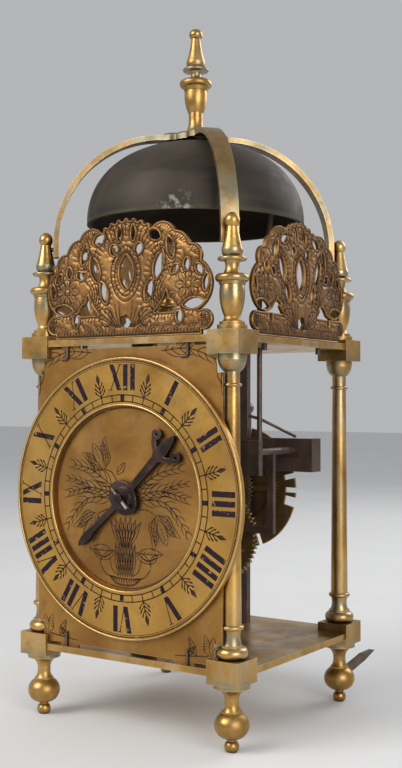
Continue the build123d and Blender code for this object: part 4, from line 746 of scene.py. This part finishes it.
def half_hour(pen):
    """The sprig that marks a half hour: straight twigs diverging below a solid leaf."""
    root = TRACK_OUTER
    pen.cut([(0, root), (0, root + 9.0)], 0.6, (1, 0.8))
    for along, reach in ((0.4, 3.3), (2.6, 3.1), (4.8, 2.4)):
        for side in (-1, 1):
            pen.cut([(0, root + along), (side * reach, root + along + 3.0)], 0.62, (0.9, 0.5))
            bud = [(side * reach * 0.7, root + along + 2.0),
                   (side * reach * 1.1, root + along + 4.0)]
            pen.cut(bud, 1.0, (0.2, 0.1))
    pen.face.polygon([pen.at(*p) for p in (
        (0, root + 7.2), (1.3, root + 9.8), (0.9, root + 11.6), (0, root + 13.6),
        (-0.9, root + 11.6), (-1.3, root + 9.8))])


# ---- dial plate ---------------------------------------------------------------------------------
CENTRE_LINE = 0.72
STEM_LINE = 0.75
# a dark circle of painted shade just inside the ring's bore
DIAL_SHADE_RADIUS, DIAL_SHADE_LINE = 48.6, 0.6
BOAT_LINE, BOAT_SHADE = 1.1, 0.7
CORNER_LINE = 0.7
CORNER_FOOT, CORNER_HEAD = 4, 5.5


def engrave_dial():
    """Cuts the flowers of the dial's centre and the sprays in its corners, and lays a dark circle
    of painted shade just inside the ring's bore.
    """
    x, z = DIAL_CENTRE
    face = Face("dial_plate", (x, DIAL_LOW.y, z), (1, 0, 0), (0, 0, 1))
    base_plant(face)
    for side in (-1, 1):
        low_flower(face, side)
        palm(face, side)
    tulip_on_stem(face, [(-4, 5), (-9, 13), (-15, 15)], -30, 15.5)
    Pen(face, -6, 12, 34).leaf(9, 4.0, 0.10, 4, CENTRE_LINE)
    tulip_on_stem(face, [(4, -7), (14, -6), (21, -9)], 156, 16.0)
    tulip_on_stem(face, [(-5, -6), (-13, -7), (-20, -10)], -146, 16.0)
    # painted shade: a dark circle line just inside the ring's bore, where the raised ring shades
    # the dial
    face.circle((0, 0), DIAL_SHADE_RADIUS, DIAL_SHADE_LINE)
    for sx in (-1, 1):
        corner(face, sx, -1)
        corner(face, sx, 1)
    face.finish("dial_engraving_and_shade", CUT_WAX_AND_SHADE)


def base_plant(face):
    """The clump at the dial's foot: a boat-shaped leaf under blades that spread at their tops."""
    for i in range(-3, 4):
        Pen(face, i * 1.5, -43, i * 1.5).leaf(19, 2.9, i * 0.012, 4, CENTRE_LINE)
        Pen(face, i * 0.8, -27, i * 8.0).leaf(17, 3.4, i * 0.03, 3, CENTRE_LINE)
    for side in (-1, 1):
        boat = Pen(face, 0, -47.2, 0, side)
        boat.cut([(0, 0), (6, 0.8), (11, 4.6)], BOAT_LINE, (1, 0.3))
        boat.cut([(0, 3.4), (5, 3.6), (11, 4.6)], 0.9, (1, 0.3))
        for i in range(6):
            shade = [(0.6 + 1.6 * i, 3.2), (1.4 + 1.6 * i, 0.7 + 0.3 * i)]
            boat.cut(shade, BOAT_SHADE, (0.9, 0.4))


def low_flower(face, side):
    """A bloom of two long leaves that bows outwards on a curved stem from the plant's foot."""
    pen = Pen(face, 0, -43, 0, side)
    pen.cut([(6, -1), (13, 1), (17, 6), (16.5, 9)], CENTRE_LINE, (0.9, 0.8))
    pen.cut([(5, 1), (9, 4), (11, 11)], CENTRE_LINE * 0.8, (0.9, 0.3))
    bloom = pen.child(8, 14, 100)
    bloom.leaf(17, 6.5, -0.18, 7, CENTRE_LINE)
    bloom.child(0, -1, 26).leaf(12, 4.0, -0.1, 5, CENTRE_LINE * 0.9)
    pen.child(16.5, 8, 30).leaf(8, 3.0, 0.2, 3, CENTRE_LINE * 0.9)


def tulip_on_stem(face, stem, heading, size):
    """A stem with one dotted tulip, its cup sheathed by two long leaves."""
    pen = Pen(face, 0, 0)
    pen.cut(stem, STEM_LINE, (0.8, 0.8))
    head = Pen(face, *stem[-1], heading)
    head.tulip(size, 0.72)
    for row in range(5):
        for across in (-0.24, 0.0, 0.24):
            dot = (across * size, (0.30 + 0.12 * row) * size)
            head.cut([dot, (dot[0] + 0.5, dot[1] + 0.3)], 0.55, FULL_ENDS)
    for side in (-1, 1):
        sheath = head.child(side * 1.2, -0.5, side * 38)
        sheath.leaf(size * 0.95, 3.4, -side * 0.28, 4, CENTRE_LINE)


def plume(pen, stem, barbs, length):
    """A feather: a curved quill with long fine barbs that sweep forward on both sides."""
    pen.cut(stem, CENTRE_LINE, (0.9, 0.3))
    path = smooth(stem)
    for i in range(barbs):
        share = (i + 0.6) / barbs
        k = int((len(path) - 2) * share)
        (x, y), (nx, ny) = path[k], path[k + 1]
        heading = atan2(nx - x, ny - y) * 180 / pi
        reach = length * (1.0 - 0.55 * share)
        for side in (-1, 1):
            pen.child(x, y, heading + side * 24).cut(
                [(0, 0), (side * reach * 0.10, reach * 0.5), (side * reach * -0.04, reach)],
                CENTRE_LINE * 0.8, (0.9, 0.1))


def palm(face, side):
    """The long plumes that sweep out from the hand's boss on one side."""
    for root, middle, tip, barbs, length in (
        ((8, 2), (24, 4.5), (40, 1), 9, 12.0), ((8, 5), (23, 14), (36, 17), 7, 13.0),
        ((9, -1), (27, -2), (41, -17), 8, 11.0), ((24, 3), (33, 8), (41, 9), 4, 8.0),
    ):
        plume(Pen(face, 0, 0, 0, side), [root, middle, tip], barbs, length)


def corner(face, side, end):
    """A corner of the plate outside the ring: a small tulip in a lower one, a plume in an upper."""
    if end < 0:
        foot = (DIAL_LOW.z - DIAL_CENTRE[1]) / MM
        pen = Pen(face, side * 33, foot + CORNER_FOOT, 0, side)
        pen.cut([(0, 0), (12, 1), (21, 2)], CORNER_LINE, (0.6, 0.9))
        pen.child(22, 2, 14).tulip(10.0, 0.66)
        pen.child(14, 1, -40).leaf(11, 3.6, 0.2, 4, CENTRE_LINE)
        pen.child(6, 0.5, 62).leaf(9, 2.8, -0.2, 3, CENTRE_LINE)
        pen.child(24, 3, 60).leaf(8, 3.0, 0.2, 3, CENTRE_LINE)
    else:
        head = (DIAL_HIGH.z - DIAL_CENTRE[1]) / MM
        pen = Pen(face, side * 30, head - CORNER_HEAD, 0, side)
        plume(pen, [(-6, 1.5), (13, 2), (33, -6)], 8, 13.0)
        pen.child(29, -6, 158).leaf(17, 5.0, -0.15, 6, CENTRE_LINE)
        pen.child(33, -8, 172).leaf(16, 3.6, 0.15, 5, CENTRE_LINE)


# ---- frets --------------------------------------------------------------------------------------
CHASE_LINE = 0.5
CHASE_SEED = 5
RIM_STEP = 0.7
FRET_TOP = 20 * MM
FLAT_PLAY = 0.05 * MM
LEAST_LOOP = 8
LEAST_RUN = 3
FRET_HALF_WIDTH = 56.0
SIDE_FRET_SHARE = 0.92
ARCH_HEIGHT = 0.535
FLUTES = 28
FLUTE_FOOT, FLUTE_TIP = 0.30, 0.42
BASE_LINE_HEIGHT = 1.6
OPENING_HALF_WIDTH, OPENING_HALF_HEIGHT = 4.8, 9.4
SHELL_SIDES = 24
SHELL_LINES = (1.55, 2.1)
SHELL_FLUTES = (1.62, 2.05)


def outlines(node, out):
    """The edge loops of a flat-sided node's face that looks along out, as world points."""
    mesh = nodes[node].data
    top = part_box(node)[1].z
    reach = max(v.co.dot(out) for v in mesh.vertices if top - v.co.z < FRET_TOP)
    follow = {}
    edges = set()
    for p in mesh.polygons:
        corners = [mesh.vertices[i].co for i in p.vertices]
        if p.normal.dot(out) > 0.99 and abs(corners[0].dot(out) - reach) < FLAT_PLAY:
            keys = [tuple(round(c / MM, 2) for c in co) for co in corners]
            edges.update(zip(keys, keys[1:] + keys[:1]))
    for a, b in edges:
        if (b, a) not in edges:
            follow.setdefault(a, []).append(b)
    loops = []
    while follow:
        start = next(iter(follow))
        loop = [start]
        while loop[-1] in follow:
            nexts = follow[loop[-1]]
            step = nexts.pop()
            if not nexts:
                del follow[loop[-1]]
            if step == start:
                break
            loop.append(step)
        if len(loop) > LEAST_LOOP:
            loops.append([Vector(k) * MM for k in loop])
    return loops


def flat_outlines(face, node):
    """The loops of a face in its own millimetres, metal on the left of each."""
    flat = []
    for loop in outlines(node, face.out):
        flat.append([((p - face.origin).dot(face.across) / MM, (p - face.origin).dot(face.up) / MM)
                     for p in loop])
    return flat


def even(loop, step):
    """A closed loop resampled at an even step."""
    points = []
    carried = 0.0
    for (ax, ay), (bx, by) in zip(loop, loop[1:] + loop[:1]):
        length = hypot(bx - ax, by - ay)
        while carried < length:
            t = carried / length
            points.append((ax + (bx - ax) * t, ay + (by - ay) * t))
            carried += step
        carried -= length
    return points


def chase_borders(face, loops):
    """Cuts a line beside every opening, and short cuts fanning from it into the metal."""
    dice = Random(CHASE_SEED)
    for loop in loops:
        border = [spot if face.rims.find((*spot, 0))[2] > BORDER_IN * 0.82 else None
                  for spot in inner_line(loop, BORDER_IN)]
        run = []
        for spot in border + border[:1]:
            if spot is None:
                if len(run) > LEAST_RUN:
                    face.line(run, CHASE_LINE, (0.5, 0.5))
                run = []
            else:
                run.append(spot)
        if len(run) > LEAST_RUN:
            face.line(run, CHASE_LINE, (0.5, 0.5))
        for (x, y), spot in list(zip(loop, border))[::3]:
            if spot is None:
                continue
            px, py = spot
            nx, ny = (px - x) / BORDER_IN, (py - y) / BORDER_IN
            long = 1.8 + 2.4 * dice.random()
            tip = (px + nx * long + ny * 0.7, py + ny * long - nx * 0.7)
            if face.rims.find((*tip, 0))[2] > 0.9:
                face.line([(px + nx * 0.3, py + ny * 0.3), tip], CHASE_LINE * 0.9, (0.9, 0.1))


def chase_fret(node, origin, across, share):
    """Chases one fret: borders, shell, flowers, leaves, a base line, and the relief they sink."""
    face = Face(node, origin, across, (0, 0, 1))
    loops = [even(loop, RIM_STEP) for loop in flat_outlines(face, node)]
    loops = [loop for loop in loops if len(loop) > 6]
    face.rims = tree_of([p for loop in loops for p in loop])
    chase_borders(face, loops)
    low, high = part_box(node)
    tall = (high.z - low.z) / MM
    wide = FRET_HALF_WIDTH * share
    arch = ARCH_HEIGHT * tall
    for i in range(FLUTES + 1):
        turn = pi * i / FLUTES
        flute = [(r * cos(turn), arch + r * sin(turn))
                 for r in (FLUTE_FOOT * tall, FLUTE_TIP * tall)]
        face.line(flute, 0.6, (0.2, 0.9))
    cartouche(face, arch, tall, share)
    for side in (-1, 1):
        Pen(face, side * 0.74 * wide, 0.41 * tall).flower(0.13 * tall, 8, 0.5)
        Pen(face, side * 0.53 * wide, 0.72 * tall).flower(0.07 * tall, 6, 0.45)
        Pen(face, side * 0.905 * wide, 0.125 * tall).flower(0.055 * tall, 5, 0.45)
        for along in range(5):
            root = Pen(face, side * (0.12 + 0.15 * along) * wide, 0.05 * tall, side * 64)
            root.leaf(8.0, 3.0, 0.1, 3, 0.45)
    base = [(-0.93 * wide, BASE_LINE_HEIGHT), (0.93 * wide, BASE_LINE_HEIGHT)]
    face.line(base, CHASE_LINE, FULL_ENDS)
    face.finish(node + "_engraving", GROOVE_DIRT)
    face.relief(node + "_relief", loops, FINISHES["fret_brass"], "fret_brass")


def shell_size(share, scale):
    """The half width and half height of a line round the middle opening."""
    return OPENING_HALF_WIDTH * share * scale, OPENING_HALF_HEIGHT * (0.45 + 0.55 * scale)


def cartouche(face, middle, tall, share):
    """The shell round the middle opening, its flutes, and the scrolls and fronds at its foot."""
    for scale in SHELL_LINES:
        wide, high = shell_size(share, scale)
        ring = [(wide * sin(t) * abs(sin(t)) ** 0.2, middle + high * cos(t))
                for t in (2 * pi * i / SHELL_SIDES for i in range(SHELL_SIDES))]
        face.line(ring, 0.6, FULL_ENDS, True)
    for i in range(SHELL_SIDES):
        t = 2 * pi * (i + 0.5) / SHELL_SIDES
        if cos(t) > -0.9:
            flute = []
            for scale in SHELL_FLUTES:
                wide, high = shell_size(share, scale)
                flute.append((wide * sin(t), middle + high * cos(t)))
            face.line(flute, CHASE_LINE, (0.9, 0.2))
    for side in (-1, 1):
        foot = Pen(face, side * 13.5 * share, 0.155 * tall, 0, side)
        foot.cut([(0.6 + (1.0 + 0.62 * k) * sin(0.75 * k), (1.0 + 0.62 * k) * cos(0.75 * k))
                  for k in range(11)], 0.7, (0.3, 0.9))
        for i in range(9):
            t = 2 * pi * i / 9
            ray = [(3.4 * sin(t), 3.4 * cos(t)), (5.6 * sin(t + 0.35), 5.6 * cos(t + 0.35))]
            foot.cut(ray, 0.55, (0.9, 0.2))
        frond = Pen(face, side * 3.0, 0.07 * tall, 0, side)
        for k in range(6):
            lean = 1.5 + 3.2 * k
            blade = [(0.6 * k, 1.0), (lean * 0.62, 7.0 - 0.4 * k), (lean * 1.05, 14.5 - 1.3 * k)]
            frond.cut(blade, 0.6, (0.9, 0.1))
        body = Pen(face, side * 22 * share, 0.32 * tall, 0, side)
        for k in range(5):
            vein = [(-4 + 1.5 * k, -4.0 + 0.6 * k), (-5.4 + 1.7 * k, 5.0),
                    (-2.5 + 2.1 * k, 15.0 - 0.9 * k)]
            body.cut(vein, 0.6, (0.7, 0.1))


def engrave_frets():
    """Chases the front fret and both side frets on their outer faces."""
    front_low, front_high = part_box("fret_front")
    middle = (front_low.x + front_high.x) / 2
    chase_fret("fret_front", (middle, front_low.y, front_low.z), (1, 0, 0), 1.0)
    for name, sign in (("fret_left", -1), ("fret_right", 1)):
        low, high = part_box(name)
        middle = (low.y + high.y) / 2
        edge = high.x if sign > 0 else low.x
        chase_fret(name, (edge, middle, low.z), (0, sign, 0), SIDE_FRET_SHARE)


# ---- room ---------------------------------------------------------------------------------------
FLOOR_SIDE = 6.0
SKY_COLOUR = (0.74, 0.75, 0.77, 1)
SKY_STRENGTH = 0.62
AIM = (0, 0, 0.2)
KEY_PLACE, KEY_SIZE, KEY_POWER, KEY_TINT = (-0.55, -1.15, 1.05), 0.9, 16, (1.0, 0.98, 0.95)
FILL_PLACE, FILL_SIZE, FILL_POWER, FILL_TINT = (1.25, -0.70, 0.55), 0.9, 11, (0.97, 0.98, 1.0)
BACK_PLACE, BACK_SIZE, BACK_POWER, BACK_TINT = (0.3, 1.2, 0.9), 0.8, 7, (1, 1, 1)


def add_light(name, place, size, power, tint):
    """A soft square light that looks at the clock's middle."""
    lamp = bpy.data.lights.new(name, "AREA")
    lamp.size = size
    lamp.energy = power
    lamp.color = tint
    light = bpy.data.objects.new(name, lamp)
    light.location = place
    light.rotation_euler = (Vector(AIM) - Vector(place)).to_track_quat("-Z", "Y").to_euler()
    bpy.context.scene.collection.objects.link(light)


def add_room():
    """A pale floor under soft studio light."""
    mesh = bpy.data.meshes.new("floor")
    side = FLOOR_SIDE
    mesh.from_pydata([(-side, -side, 0), (side, -side, 0), (side, side, 0), (-side, side, 0)],
                     [], [(0, 1, 2, 3)])
    mesh.materials.append(floor_paper())
    floor = bpy.data.objects.new("floor", mesh)
    bpy.context.scene.collection.objects.link(floor)
    world = bpy.data.worlds.new("studio")
    world.use_nodes = True
    sky = world.node_tree.nodes["Background"]
    sky.inputs["Color"].default_value = SKY_COLOUR
    sky.inputs["Strength"].default_value = SKY_STRENGTH
    bpy.context.scene.world = world
    add_light("key", KEY_PLACE, KEY_SIZE, KEY_POWER, KEY_TINT)
    add_light("fill", FILL_PLACE, FILL_SIZE, FILL_POWER, FILL_TINT)
    add_light("back", BACK_PLACE, BACK_SIZE, BACK_POWER, BACK_TINT)
    bpy.context.scene.view_settings.view_transform = "Standard"


add_camera()
dress_nodes()
engrave_ring()
engrave_dial()
engrave_frets()
add_room()
